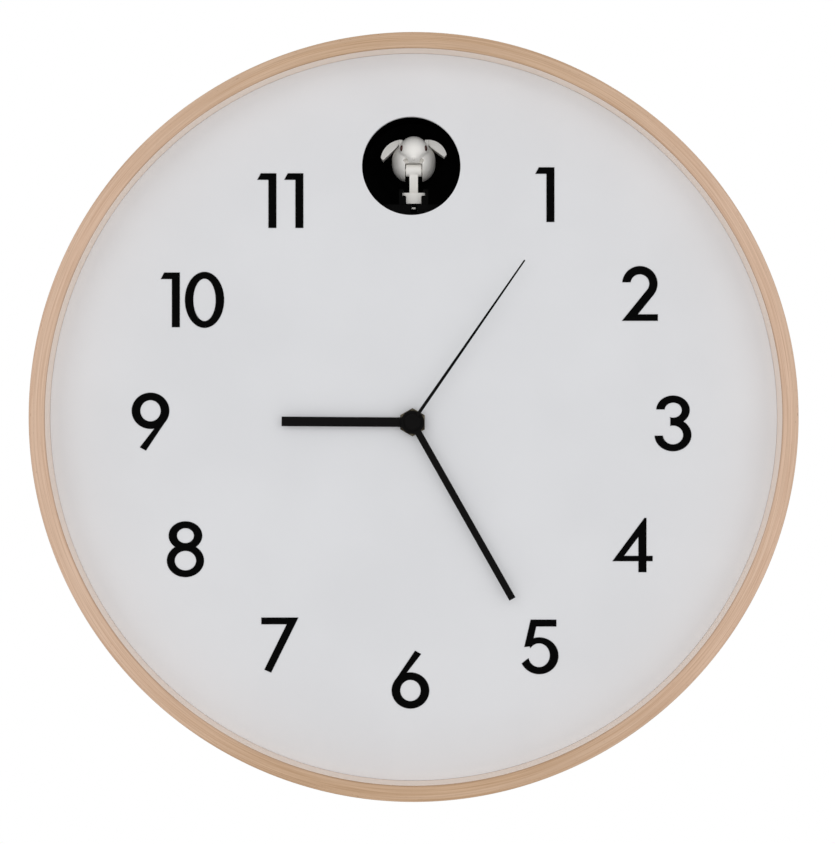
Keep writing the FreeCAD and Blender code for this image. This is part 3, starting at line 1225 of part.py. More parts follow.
def make_drive_gears():
    """Rack pinion, reduction gear and motor pinion."""
    up = math.pi / 2
    rack_pinion = joined(tube("x", (-4.9, 11.3), SHAFT_A),
                         gear("x", (-1.5, 1.5), int(size.pinion_teeth), size.rack_module, up),
                         gear("x", GEAR_A, REDUCTION_TEETH, size.drive_module))
    sub_part(shape_part("rack_pinion", rack_pinion), "rack_pinion", at_shaft("pinion"))

    small_phase = meshed_phase(0.0, REDUCTION_TEETH, 0.0, SMALL_TEETH)
    reduction = joined(tube("x", (5.1, 15.4), SHAFT_B),
                       gear("x", GEAR_A, SMALL_TEETH, size.drive_module, small_phase),
                       gear("x", GEAR_B, REDUCTION_TEETH, size.drive_module))
    sub_part(shape_part("reduction_gear", reduction), "reduction_gear", at_shaft("reduction"))

    motor_phase = meshed_phase(0.0, REDUCTION_TEETH, 0.0, MOTOR_TEETH)
    pinion = joined(tube("x", (11.5, 30), 0.75),
                    gear("x", GEAR_B, MOTOR_TEETH, size.drive_module, motor_phase))
    sub_part(shape_part("motor_pinion", pinion), "motor_pinion", at_shaft("motor"))


def shaft_spot(name):
    return tuple(f"{value:.4f}" for value in SHAFTS[name])


PLATES = {"left": (-5.0, -3.8), "middle": (5.0, 6.5), "right": (14.6, 15.5)}


def make_drive_bracket():
    """Three plates on a base, which hold the drive's shafts and the motor."""
    tall = ("-42.3", "-24.6")
    base = block("bracket_base", (PLATES["left"][0], PLATES["right"][1]), ("4", "44"), ("-43.4", "-42.2"))
    left = block("bracket_left", PLATES["left"], ("5", "19"), tall)
    middle = block("bracket_middle", PLATES["middle"], ("5", "30"), tall)
    right = block("bracket_right", PLATES["right"], ("18", "43"), tall)
    holes = [
        rod("hole_pinion", "x", ("-6", "7"), shaft_spot("pinion"), f"{SHAFT_A} + running_gap"),
        rod("hole_reduction", "x", ("4", "16"), shaft_spot("reduction"), f"{SHAFT_B} + running_gap"),
        rod("hole_motor", "x", ("14", "16"), shaft_spot("motor"), "1.2"),
    ]
    item = cut("drive_bracket", fuse("bracket_blank", base, left, middle, right), *holes)
    sub_part(item, "drive_bracket", UNIT)


def make_motor():
    """The motor's can, with a bore for the shaft of its pinion."""
    start = PLATES["right"][1]
    can = rod("motor_can", "x", (start, f"{start} + motor_length"), shaft_spot("motor"), "motor_radius")
    bore = rod("motor_bore", "x", (start, "30.2"), shaft_spot("motor"), "0.75 + running_gap")
    sub_part(cut("motor", can, bore), "motor", UNIT)


def ellipsoid(x, y, z, half_x, half_y, half_z):
    """An ellipsoid with its three half axes along the clock's axes."""
    ball = Part.makeSphere(1.0)
    stretch = FreeCAD.Matrix()
    stretch.scale(half_x, half_y, half_z)
    solid = ball.transformGeometry(stretch)
    solid.translate(Vector(x, y, z))
    return solid


BODY_Z, HEAD_Z = 3.9, 8.8
SLOT_TOP, BEAK_Z = 2.6, 5.2
WING_HINGE = (6.9, 13.7)
WING_RUN = (15.3, 29.7)
BEAK_HINGE = (8.2, 4.05)  # y and z


def make_bird_body():
    """The bird's head, body and tail in one, slotted in the breast and drilled for the pin it nods on."""
    body = ellipsoid(0, 24, BODY_Z, size.bird_half_width, 16, 10.2)
    head = ellipsoid(0, 12.5, HEAD_Z, size.head_half_width, 7.5, 7.3)
    tail = Part.makeBox(9, 14, 2, Vector(-4.5, 34, BODY_Z + 1.5))
    beak = Part.makeCone(2.4, 0.3, 5, Vector(0, 7.2, BEAK_Z), Vector(0, -1, 0))
    lower_half = Part.makeBox(6, 12, 6, Vector(-3, 0, BEAK_Z - 6))
    lugs = []
    for sign in (-1, 1):
        for y in (WING_RUN[0] - 1.3, WING_RUN[1] + 0.3):
            left = sign * (WING_HINGE[0] - 0.35) - 0.95
            lug = Part.makeBox(1.9, 1, 6.6, Vector(left, y, WING_HINGE[1] - 5.6))
            lugs.append(lug)
        pin_start = Vector(sign * WING_HINGE[0], WING_RUN[0] - 0.8, WING_HINGE[1])
        lugs.append(Part.makeCylinder(0.5, WING_RUN[1] - WING_RUN[0] + 1.6, pin_start, Vector(0, 1, 0)))
    bird = joined(body, head, tail, beak.cut(lower_half), *lugs)
    slot_half = size.breast_slot_half
    breast_slot = Part.makeBox(2 * slot_half, 38, 14, Vector(-slot_half, 3, SLOT_TOP - 14))
    mouth = Part.makeBox(4.6, 7.8, 2.5, Vector(-2.3, 2, SLOT_TOP))
    pivot = Vector(-15, size.pivot_y, size.pivot_z)
    bore = Part.makeCylinder(1.0 + size.running_gap, 30, pivot, Vector(1, 0, 0))
    bird = bird.cut(breast_slot).cut(mouth).cut(bore)
    eyes = [ellipsoid(sign * 6.3, 9.5, HEAD_Z + 1, 0.6, 1.6, 1.65) for sign in (-1, 1)]
    for eye in eyes:
        bird = bird.cut(eye)
    sub_part(shape_part("bird_body", bird), "bird_body", UNIT)
    sub_part(shape_part("bird_eyes", Part.makeCompound(eyes)), "bird_eyes", UNIT)


def make_bird_beak():
    """The lower beak, a tongue on a small barrel."""
    y, z = BEAK_HINGE
    barrel = Part.makeCylinder(0.8, 3.6, Vector(-1.8, y, z), Vector(1, 0, 0))
    tongue = Part.makeCone(1.1, 0.3, 5.2, Vector(0, y, z - 0.1), Vector(0, -1, 0))
    above = Part.makeBox(6, 12, 3, Vector(-3, 0, z + 0.8))
    sub_part(shape_part("bird_beak", joined(barrel, tongue).cut(above)), "bird_beak", UNIT)


def make_wings():
    """Two thin arched wings that hinge at the shoulders; the right one is held a little higher."""
    x, z = WING_HINGE
    run = WING_RUN[1] - WING_RUN[0]
    for label, sign, lift in (("left_wing", -1, 0.0), ("right_wing", 1, 1.6)):
        tip = (x + 9.8, z - 8.0 + lift)
        outline = [(x - 0.6, z + 1.0), (x + 6.3, z - 1.7 + lift / 2), tip, (tip[0] - 1.1, tip[1] - 1.3),
                   (x + 1.4, z - 2.4)]
        corners = [Vector(sign * across, WING_RUN[0], up) for across, up in outline]
        edges = [Part.Arc(*corners[:3]).toShape()]
        for start, end in ((corners[2], corners[3]), (corners[3], corners[4]), (corners[4], corners[0])):
            edges.append(Part.LineSegment(start, end).toShape())
        blade = Part.Face(Part.Wire(edges)).extrude(Vector(0, run, 0))
        hinge, along = Vector(sign * x, WING_RUN[0], z), Vector(0, 1, 0)
        barrel = Part.makeCylinder(1.1, run, hinge, along)
        bore = Part.makeCylinder(0.5 + size.running_gap, run, hinge, along)
        sub_part(shape_part(label, joined(blade, barrel).cut(bore)), label, UNIT)


def make_bow_pin():
    """The steel pin that the bird nods on."""
    pin = rod("bow_pin_rod", "x", ("-8", "8"), ("pivot_y", "pivot_z"), "1")
    sub_part(group("bow_pin_piece", pin), "bow_pin", UNIT)


# ---------------------------------------------------------------- build, check and write

make_frame_ring()
make_dial()
make_support_ring()
make_dial_screws()
make_hanger_block()
make_hanger_plate()
make_hanger_screws()
make_numerals()
make_hands()
make_bushing()
make_washer()
make_nut()
make_movement_case()
make_movement_cover()
make_middle_plate()
make_stator()
make_coil()
make_movement_circuit()
make_aa_cell()
make_movement_contacts()
make_seconds_train()
make_motion_work()
make_cuckoo_case()
make_back_cover()
make_hinge_pins()
make_battery_door()
make_c_cells()
make_cell_contacts()
make_speaker()
make_sound_board()
make_controls()
make_screw_sets()
make_trigger_lead()
make_guide_rails()
make_carriage()
make_rack()
make_drive_gears()
make_drive_bracket()
make_motor()
make_bird_body()
make_bird_beak()
make_wings()
make_bow_pin()
doc.recompute()

faults = [item.Name for item in doc.Objects if {"Invalid", "Error"} & set(item.State)]
for label, item in sub_parts.items():
    if item.Shape.isNull() or not item.Shape.isValid() or not item.Shape.Solids:
        faults.append(label)
if faults:
    raise RuntimeError("failed: " + ", ".join(faults))

os.makedirs("parts", exist_ok=True)
for label, item in sub_parts.items():
    item.Shape.exportStep(f"parts/{label}.step")
print(len(sub_parts), "sub-parts written")
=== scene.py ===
"""A bentwood cuckoo wall clock: the visual model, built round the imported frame."""
import math

import bmesh
import bpy
from mathutils import Matrix, Vector
from mathutils.geometry import tessellate_polygon


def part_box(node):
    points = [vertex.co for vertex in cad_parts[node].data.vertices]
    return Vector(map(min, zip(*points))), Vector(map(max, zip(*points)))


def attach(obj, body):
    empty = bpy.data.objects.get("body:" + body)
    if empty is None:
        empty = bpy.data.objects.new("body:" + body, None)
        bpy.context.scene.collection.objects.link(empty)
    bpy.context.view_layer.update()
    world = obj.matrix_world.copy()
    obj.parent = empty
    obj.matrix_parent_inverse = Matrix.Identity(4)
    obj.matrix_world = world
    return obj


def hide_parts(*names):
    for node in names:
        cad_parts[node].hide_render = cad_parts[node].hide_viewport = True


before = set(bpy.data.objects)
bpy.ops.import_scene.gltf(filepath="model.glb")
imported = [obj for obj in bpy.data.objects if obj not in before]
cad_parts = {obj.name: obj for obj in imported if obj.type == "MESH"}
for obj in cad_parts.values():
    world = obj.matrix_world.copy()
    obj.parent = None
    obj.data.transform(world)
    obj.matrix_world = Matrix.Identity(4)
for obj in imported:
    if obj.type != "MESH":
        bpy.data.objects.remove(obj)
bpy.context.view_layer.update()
MM = 0.001

# ---------------------------------------------------------------- studio
# The camera stands square on, 1.5 m in front of the ring, at the height of the ring's middle.
# Two large soft lights stand to its left and right, and a plain pale floor lies well below.

ring_low, ring_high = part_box("frame_ring")
ring_middle = (ring_low + ring_high) / 2
camera = bpy.data.objects.new("camera", bpy.data.cameras.new("camera"))
camera.data.lens = 129.7
camera.data.sensor_width = 36
camera.location = (ring_middle.x + 1.92 * MM, ring_low.y - 1.5, ring_middle.z - 2.47 * MM)
camera.rotation_euler = (math.radians(90), 0, 0)
scene = bpy.context.scene
scene.collection.objects.link(camera)
scene.camera = camera
scene.view_settings.view_transform = "Standard"


class Output:
    """One output of a node. Arithmetic on it adds Math nodes."""

    def __init__(self, plan, socket):
        self.plan = plan
        self.socket = socket

    def __add__(self, other):
        return self.plan.maths("ADD", self, other)

    def __sub__(self, other):
        return self.plan.maths("SUBTRACT", self, other)

    def __rsub__(self, other):
        return self.plan.maths("SUBTRACT", other, self)

    def __mul__(self, other):
        return self.plan.maths("MULTIPLY", self, other)

    def __truediv__(self, other):
        return self.plan.maths("DIVIDE", self, other)

    __radd__ = __add__
    __rmul__ = __mul__


class Plan:
    """A node tree under construction."""

    def __init__(self, tree):
        self.tree = tree

    def node(self, kind, sockets=(), output=0, **settings):
        """Adds a node: its settings first, then the values or links of its sockets."""
        made = self.tree.nodes.new(kind)
        for name, value in settings.items():
            setattr(made, name, value)
        for key, value in dict(sockets).items():
            self.feed(made.inputs[key], value)
        return Output(self, made.outputs[output])

    def feed(self, socket, value):
        if isinstance(value, Output):
            self.tree.links.new(value.socket, socket)
        else:
            socket.default_value = value

    def maths(self, operation, *values):
        return self.node("ShaderNodeMath", dict(enumerate(values)), operation=operation)


def srgb(red, green, blue):
    """A colour given as it looks on a screen, from 0 to 255."""
    return (*((level / 255 / 12.92 if level < 11 else ((level / 255 + 0.055) / 1.055) ** 2.4)
              for level in (red, green, blue)), 1.0)


world = bpy.data.worlds.new("studio")
world.use_nodes = True
scene.world = world
air = Plan(world.node_tree)
seen = air.node("ShaderNodeLightPath", output="Is Camera Ray")
background = world.node_tree.nodes["Background"]
background.inputs["Color"].default_value = (1.0, 1.0, 1.0, 1.0)
air.feed(background.inputs["Strength"], 0.60 + 0.40 * seen)


def soft_light(name, place, width, power):
    lamp = bpy.data.objects.new(name, bpy.data.lights.new(name, "AREA"))
    lamp.data.size = width
    lamp.data.energy = power
    lamp.location = ring_middle + Vector(place)
    lamp.rotation_euler = (-Vector(place)).to_track_quat("-Z", "Y").to_euler()
    scene.collection.objects.link(lamp)


soft_light("key_left", (-0.75, -2.3, 0.45), 2.0, 10.5)
soft_light("key_right", (0.85, -2.3, 0.15), 2.0, 9.5)
soft_light("back_fill", (0.6, 2.3, 1.2), 1.2, 16)


class Finish(Plan):
    """A material's nodes round one Principled shader, read from the object's own coordinates."""

    def __init__(self, name, colour, roughness, uniform=()):
        self.material = bpy.data.materials.new(name)
        self.material.use_nodes = True
        super().__init__(self.material.node_tree)
        self.shader = self.tree.nodes["Principled BSDF"]
        self.place = self.node("ShaderNodeTexCoord", output="Object")
        self.set("Base Color", colour)
        self.set("Roughness", roughness)
        for socket, value in dict(uniform).items():
            self.set(socket, value)

    def set(self, socket, value):
        self.feed(self.shader.inputs[socket], value)

    def from_point(self, point):
        """The coordinates measured from a point."""
        return self.node("ShaderNodeVectorMath", {0: self.place, 1: tuple(point)}, operation="SUBTRACT")

    def parts(self, vector):
        split = self.tree.nodes.new("ShaderNodeSeparateXYZ")
        self.feed(split.inputs[0], vector)
        return [Output(self, split.outputs[n]) for n in range(3)]

    def off_axis(self, point):
        """The distance from a line that runs front to back through a point."""
        across, _, up = self.parts(self.from_point(point))
        return self.maths("SQRT", across * across + up * up)

    def joined(self, x, y, z):
        return self.node("ShaderNodeCombineXYZ", {0: x, 1: y, 2: z})

    def noise(self, size, vector=None, detail=3.0, roughness=0.55):
        """Noise whose features are about size metres across."""
        return self.node("ShaderNodeTexNoise", {
            "Vector": vector or self.place, "Scale": 1 / size, "Detail": detail, "Roughness": roughness})

    def between(self, value, low, high):
        """0 below low and 1 above high, with a soft step between."""
        return self.node("ShaderNodeMapRange", {"Value": value, "From Min": low, "From Max": high},
                         interpolation_type="SMOOTHSTEP")

    def mix(self, factor, first, second):
        return self.node("ShaderNodeMix", {0: factor, 6: first, 7: second}, output=2, data_type="RGBA")

    def bump(self, height, depth, strength=1.0):
        """Raises the surface by up to depth metres where height is 1."""
        self.set("Normal", self.node("ShaderNodeBump", {
            "Height": height, "Distance": depth, "Strength": strength}))


paper = Finish("studio_floor", srgb(236, 236, 236), 0.9)
paper.set("Base Color", paper.mix(paper.noise(0.4), srgb(234, 234, 234), srgb(240, 240, 239)))
floor_shell = bmesh.new()
bmesh.ops.create_circle(floor_shell, cap_ends=True, segments=96, radius=1.9,
                        matrix=Matrix.Translation((ring_middle.x, 0, ring_middle.z - 1.15)))
floor_mesh = bpy.data.meshes.new("floor")
floor_shell.to_mesh(floor_mesh)
floor_shell.free()
floor_mesh.materials.append(paper.material)
floor = bpy.data.objects.new("floor", floor_mesh)
scene.collection.objects.link(floor)

# ---------------------------------------------------------------- bentwood ring
# Five beech veneers bent round a former and glued, then turned true. The front shows their edges as fine
# rings, the sides show their faces, and a clear matt lacquer covers all.

RING_RADIUS, RING_WALL, RING_DEPTH, RING_EASE = 190 * MM, 8 * MM, 88 * MM, 0.6 * MM


def round_grain(wood):
    """Radius, depth and the direction round the ring, for grain that runs round it."""
    across, depth, up = wood.parts(wood.from_point(ring_middle))
    radius = wood.maths("SQRT", across * across + up * up)
    return radius, depth, across / radius, up / radius


def beech_finish():
    wood = Finish("beech_lacquered", srgb(205, 170, 142), 0.5, {"Specular IOR Level": 0.35})
    radius, depth, turn_x, turn_z = round_grain(wood)

    def streaks(run, width, detail=2.0):
        """Noise drawn out round the ring: run along the grain, width across it, in metres."""
        around = RING_RADIUS / run
        path = wood.joined(turn_x * around, turn_z * around, (radius + depth) / width)
        return wood.noise(1.0, path, detail)

    inner = RING_RADIUS - RING_WALL
    # The ring's left and right are painted lighter than its top and bottom: painted light, standing in for
    # the soft lights to its left and right.
    side = wood.between(wood.maths("ABSOLUTE", turn_x), 0.25, 0.95)
    light = wood.mix(side, srgb(212, 178, 146), srgb(228, 195, 170))
    dark = wood.mix(side, srgb(188, 152, 118), srgb(206, 170, 142))
    grain = wood.between(streaks(45 * MM, 0.42 * MM, 4.0), 0.34, 0.68)
    colour = wood.mix(grain, dark, light)
    broad = wood.between(streaks(120 * MM, 2.6 * MM), 0.38, 0.66)
    colour = wood.mix(0.30 * broad, colour, srgb(224, 196, 172))
    veneer = wood.maths("FRACT", (radius - inner) / (1.6 * MM))
    glue = 1.0 - wood.between(wood.maths("ABSOLUTE", veneer - 0.5), 0.0, 0.07)
    front = 1.0 - wood.between(depth, -RING_DEPTH / 2 + 0.5 * MM, -RING_DEPTH / 2 + 0.9 * MM)
    colour = wood.mix(0.28 * glue * front, colour, srgb(150, 112, 84))
    fleck = wood.between(streaks(3.2 * MM, 0.30 * MM), 0.66, 0.74)
    outer = wood.between(radius, RING_RADIUS - 3.5 * MM, RING_RADIUS - 0.3 * MM)
    colour = wood.mix(fleck * (0.22 + 0.5 * outer), colour, srgb(126, 88, 62))
    inner_line = 1.0 - wood.between(radius, inner + 0.1 * MM, inner + 0.8 * MM)
    colour = wood.mix(0.35 * inner_line * front, colour, srgb(140, 104, 78))
    # The inner wall is painted almost white: painted light, brightening the wall where the recess would leave
    # it shaded.
    inner_wall_painted_light = 1.0 - wood.between(radius, inner, inner + 0.3 * MM)
    colour = wood.mix(0.85 * inner_wall_painted_light * (1.0 - front), colour, srgb(255, 240, 228))
    wood.set("Base Color", colour)
    wood.set("Roughness", 0.42 + 0.16 * grain)
    wood.bump(grain * 0.6 + fleck * -0.5, 0.03 * MM, 0.5)
    return wood.material


class Machine(Plan):
    """A Geometry Nodes tree with named inputs, run on a throwaway object to give a plain mesh."""

    def __init__(self, name, **inputs):
        tree = bpy.data.node_groups.new(name, "GeometryNodeTree")
        tree.is_modifier = True
        super().__init__(tree)
        for label, kind in {"Start": "Geometry", **inputs, "Finish": "Material"}.items():
            tree.interface.new_socket(label, in_out="INPUT", socket_type="NodeSocket" + kind)
        tree.interface.new_socket("Made", in_out="OUTPUT", socket_type="NodeSocketGeometry")
        self.entry = tree.nodes.new("NodeGroupInput")

    def given(self, label):
        return Output(self, self.entry.outputs[label])

    def ends_with(self, geometry):
        """Ends the tree in Realize Instances and Set Material."""
        whole = self.node("GeometryNodeRealizeInstances", {0: geometry})
        painted = self.node("GeometryNodeSetMaterial", {"Geometry": whole, "Material": self.given("Finish")})
        self.feed(self.tree.nodes.new("NodeGroupOutput").inputs[0], painted)

    def run(self, name, start=None, **values):
        """A new object with the mesh that the tree makes from start and the values."""
        piece = bpy.data.objects.new(name, start or bpy.data.meshes.new(name))
        scene.collection.objects.link(piece)
        modifier = piece.modifiers.new("made", "NODES")
        modifier.node_group = self.tree
        for socket in self.tree.interface.items_tree:
            if socket.in_out == "INPUT" and socket.name in values:
                modifier[socket.identifier] = values[socket.name]
        made = bpy.data.meshes.new_from_object(piece.evaluated_get(bpy.context.evaluated_depsgraph_get()))
        piece.modifiers.remove(modifier)
        piece.data = made
        return piece


def finished(piece, body, slot, *nodes):
    """Fixes a finished piece to its body, in place of the CAD nodes that it stands for."""
    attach(piece, body)
    if nodes:
        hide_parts(*nodes)
    return piece


def eased(shell, degrees=35):
    """Shades a shell smooth, but not at sharp edges or where a broad flat meets a narrow rounding."""
    for face in shell.faces:
        face.smooth = True
    for edge in shell.edges:
        turn = edge.calc_face_angle(math.pi) if len(edge.link_faces) == 2 else math.pi
        areas = sorted(face.calc_area() for face in edge.link_faces)
        uneven = turn > math.radians(8) and areas[-1] > 12 * areas[0]
        edge.smooth = turn < math.radians(degrees) and not uneven
    return shell


def reshaped(piece, degrees=35, move=None):
    """Moves a made mesh, turns its faces outwards and shades it."""
    shell = bmesh.new()
    shell.from_mesh(piece.data)
    if move:
        shell.transform(move)
    bmesh.ops.remove_doubles(shell, verts=shell.verts, dist=1e-7)
    if shell.calc_volume(signed=True) < 0:
        bmesh.ops.reverse_faces(shell, faces=shell.faces)
    eased(shell, degrees).to_mesh(piece.data)
    shell.free()
    return piece


hoop = Machine("bent_hoop", Radius="Float", Wall="Float", Depth="Float", Ease="Float")
hoop_path = hoop.node("GeometryNodeCurvePrimitiveCircle",
                      {"Resolution": 384, "Radius": hoop.given("Radius") - hoop.given("Wall") * 0.5})
hoop_blank = hoop.node("GeometryNodeCurvePrimitiveQuadrilateral",
                       {"Width": hoop.given("Wall"), "Height": hoop.given("Depth")})
hoop_section = hoop.node("GeometryNodeFilletCurve", {
    "Curve": hoop_blank, "Radius": hoop.given("Ease"), "Count": 4}, mode="POLY")
hoop.ends_with(hoop.node("GeometryNodeCurveToMesh", {"Curve": hoop_path, "Profile Curve": hoop_section}))
FACE_ON = Matrix.Rotation(math.radians(90), 4, "X")

beech = beech_finish()
ring = hoop.run("bentwood_ring", Radius=RING_RADIUS, Wall=RING_WALL, Depth=RING_DEPTH, Ease=RING_EASE,
                Finish=beech)
reshaped(ring, move=Matrix.Translation(ring_middle) @ FACE_ON)
finished(ring, "case", "bentwood", "frame_ring")

# ---------------------------------------------------------------- ring behind the dial, and hanger block
# A birch plywood ring is glued inside the hoop to carry the dial, and a block is glued under its top for the
# hanger. Both are left bare, with saw marks and the plies showing on their edges.


def circle(radius, steps, x=0.0, z=0.0):
    """Points round a circle in the clock's plane, anticlockwise as seen from the front."""
    turns = [math.tau * n / steps for n in range(steps)]
    return [(x + radius * math.cos(turn), z + radius * math.sin(turn)) for turn in turns]


def inset(loop, distance):
    """A loop moved to its left, which is into the material."""
    moved = []
    for n, here in enumerate(loop):
        sides = []
        for first, second in ((loop[n - 1], here), (here, loop[(n + 1) % len(loop)])):
            run = Vector(second) - Vector(first)
            sides.append(Vector((-run.y, run.x)).normalized())
        mitre = (sides[0] + sides[1]) / (1 + sides[0].dot(sides[1]))
        moved.append((here[0] + mitre.x * distance, here[1] + mitre.y * distance))
    return moved


def plate(loops, front, back, ease, steps=2):
    """A flat plate with eased edges between two depths: an outline, then any holes."""
    def area(loop):
        return sum(a[0] * b[1] - b[0] * a[1] for a, b in zip(loop, loop[1:] + loop[:1], strict=True))

    loops = [loop if (area(loop) > 0) == (n == 0) else loop[::-1] for n, loop in enumerate(loops)]
    shell = bmesh.new()
    rows = []
    for step in range(steps + 1):
        turn = math.pi / 2 * step / steps
        rows.append((ease * (1 - math.sin(turn)), front + ease * (1 - math.cos(turn))))
    rows += [(cut_in, front + back - depth) for cut_in, depth in reversed(rows)]
    caps = ([], [])
    for loop in loops:
        rings = [[shell.verts.new((x, depth, z)) for x, z in inset(loop, cut_in)] for cut_in, depth in rows]
        for upper, lower in zip(rings, rings[1:], strict=False):
            for n in range(len(loop)):
                after = (n + 1) % len(loop)
                shell.faces.new((upper[n], upper[after], lower[after], lower[n]))
        caps[0].append(rings[0])
        caps[1].append(rings[-1])
    for cap in caps:
        corners = [corner for loop in cap for corner in loop]
        for triangle in tessellate_polygon([[Vector((v.co.x, v.co.z, 0)) for v in loop] for loop in cap]):
            shell.faces.new([corners[n] for n in triangle])
    bmesh.ops.recalc_face_normals(shell, faces=shell.faces)
    eased(shell)
    for face in shell.faces:
        if len(face.verts) == 3:
            face.smooth = False
    return shell


def as_piece(name, shell, finish, body, slot, *nodes, place=(0, 0, 0)):
    """Makes a shell into a piece on its body."""
    shell.transform(Matrix.Translation(place))
    mesh = bpy.data.meshes.new(name)
    shell.to_mesh(mesh)
    shell.free()
    mesh.materials.append(finish)
    piece = bpy.data.objects.new(name, mesh)
    scene.collection.objects.link(piece)
    return finished(piece, body, slot, *nodes)


def together(*shells):
    whole = shells[0]
    for shell in shells[1:]:
        carrier = bpy.data.meshes.new("carrier")
        shell.to_mesh(carrier)
        shell.free()
        whole.from_mesh(carrier)
        bpy.data.meshes.remove(carrier)
    return whole


def refined(node, ease, steps=2):
    """A CAD node's shape with its triangles merged and its edges eased."""
    shell = bmesh.new()
    shell.from_mesh(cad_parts[node].data)
    bmesh.ops.remove_doubles(shell, verts=shell.verts, dist=1e-6)
    bmesh.ops.dissolve_limit(shell, angle_limit=math.radians(0.5), verts=shell.verts, edges=shell.edges)
    sharp = [edge for edge in shell.edges
             if len(edge.link_faces) == 2 and edge.calc_face_angle(0.0) > math.radians(30)]
    bmesh.ops.bevel(shell, geom=sharp, offset=ease, offset_type="OFFSET", segments=steps, profile=0.5,
                    affect="EDGES", clamp_overlap=True)
    return eased(shell)


def recut(name, node, ease, finish, body, slot, steps=2):
    """A piece with a CAD node's shape and eased edges."""
    as_piece(name, refined(node, ease, steps), finish, body, slot, node)


def birch_finish():
    wood = Finish("birch_bare", srgb(205, 176, 134), 0.75, {"Specular IOR Level": 0.2})
    across, depth, up = wood.parts(wood.place)
    grain = wood.noise(1.0, wood.joined(across / (30 * MM), depth / (0.6 * MM), up / (0.9 * MM)), 4.0)
    grain = wood.between(grain, 0.32, 0.7)
    colour = wood.mix(grain, srgb(186, 152, 108), srgb(218, 192, 152))
    ply = wood.maths("FRACT", depth / (2.4 * MM))
    ply = wood.between(wood.maths("ABSOLUTE", ply - 0.5), 0.20, 0.28)
    colour = wood.mix(0.45 * ply, colour, srgb(158, 118, 78))
    saw = wood.noise(1.0, wood.joined(across / (2.5 * MM), depth / (40 * MM), up / (40 * MM)), 2.0)
    wood.set("Base Color", wood.mix(0.2 * saw, colour, srgb(232, 210, 176)))
    wood.set("Roughness", 0.68 + 0.15 * grain)
    wood.bump(grain * 0.5 + saw * 0.5, 0.06 * MM, 0.6)
    return wood.material


birch = birch_finish()
support_low, support_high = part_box("dial_support_ring")
SUPPORT_OUTER, SUPPORT_WIDTH = (support_high.x - support_low.x) / 2, 12 * MM
support = plate([circle(SUPPORT_OUTER, 256), circle(SUPPORT_OUTER - SUPPORT_WIDTH, 256)],
                support_low.y, support_high.y, 0.4 * MM)
as_piece("plywood_ring", support, birch, "case", "plywood", "dial_support_ring",
         place=(ring_middle.x, 0, ring_middle.z))
recut("block_under_top", "hanger_block", 0.5 * MM, birch, "case", "plywood")

# ---------------------------------------------------------------- hanger plate
# A keyhole plate pressed from zinc-plated steel, let in flush with the back of the ring and held by two
# countersunk screws. The plating is brushed along its length and dulled where it was handled.


def steel_finish(name, colour, roughness, dull):
    steel = Finish(name, colour, roughness, {"Metallic": 1.0})
    across, depth, up = steel.parts(steel.place)
    brushed = steel.noise(1.0, steel.joined(across / (9 * MM), depth / (0.25 * MM), up / (0.12 * MM)), 3.0)
    cloud = steel.between(steel.noise(6 * MM), 0.42, 0.66)
    steel.set("Base Color", steel.mix(cloud, colour, dull))
    steel.set("Roughness", roughness + 0.16 * cloud + 0.10 * brushed)
    steel.bump(brushed, 0.01 * MM, 0.5)
    return steel.material


zinc = steel_finish("zinc_plated_steel", srgb(196, 198, 202), 0.28, srgb(158, 160, 166))
recut("keyhole_plate", "hanger_plate", 0.15 * MM, zinc, "case", "steel")

# ---------------------------------------------------------------- screws
# Zinc-plated steel screws with cross recesses: countersunk ones for the hanger, pan heads for the dial ring,
# the cuckoo unit and its cover. Each was driven home by hand, so each cross stands at its own angle.


def fill_between(shell, pairs, around):
    """Faces between pairs of rings. A ring of one point is the tip of a cone."""
    for first, second in pairs:
        for n in range(around):
            corners = [first[n % len(first)], first[(n + 1) % len(first)],
                       second[(n + 1) % len(second)], second[n % len(second)]]
            corners = [corner for k, corner in enumerate(corners) if corner not in corners[:k]]
            if len(corners) > 2:
                shell.faces.new(corners)


def turned(profile, steps=64, axis="y"):
    """Spins a closed outline of (radius, distance along the axis) points into a solid."""
    shell = bmesh.new()
    rings = []
    for radius, along in profile:
        count = steps if radius > 1e-9 else 1
        spots = circle(radius, count) if count > 1 else [(0.0, 0.0)]
        rings.append([shell.verts.new((x, along, z) if axis == "y" else (along, x, z)) for x, z in spots])
    fill_between(shell, zip(rings, rings[1:] + rings[:1], strict=True), steps)
    if shell.calc_volume(signed=True) < 0:
        bmesh.ops.reverse_faces(shell, faces=shell.faces)
    return eased(shell, 32)


def pattern(shell):
    """A throwaway object that a tree or a modifier reads."""
    mesh = bpy.data.meshes.new("pattern")
    shell.to_mesh(mesh)
    shell.free()
    piece = bpy.data.objects.new("pattern", mesh)
    scene.collection.objects.link(piece)
    return piece


def with_modifier(shell, kind, other=None, **settings):
    """The shell after one modifier."""
    host = pattern(shell)
    modifier = host.modifiers.new("step", kind)
    if other:
        modifier.object = pattern(other)
    for name, value in settings.items():
        setattr(modifier, name, value)
    made = bpy.data.meshes.new_from_object(host.evaluated_get(bpy.context.evaluated_depsgraph_get()))
    if other:
        bpy.data.objects.remove(modifier.object)
    bpy.data.objects.remove(host)
    result = bmesh.new()
    result.from_mesh(made)
    bpy.data.meshes.remove(made)
    return result


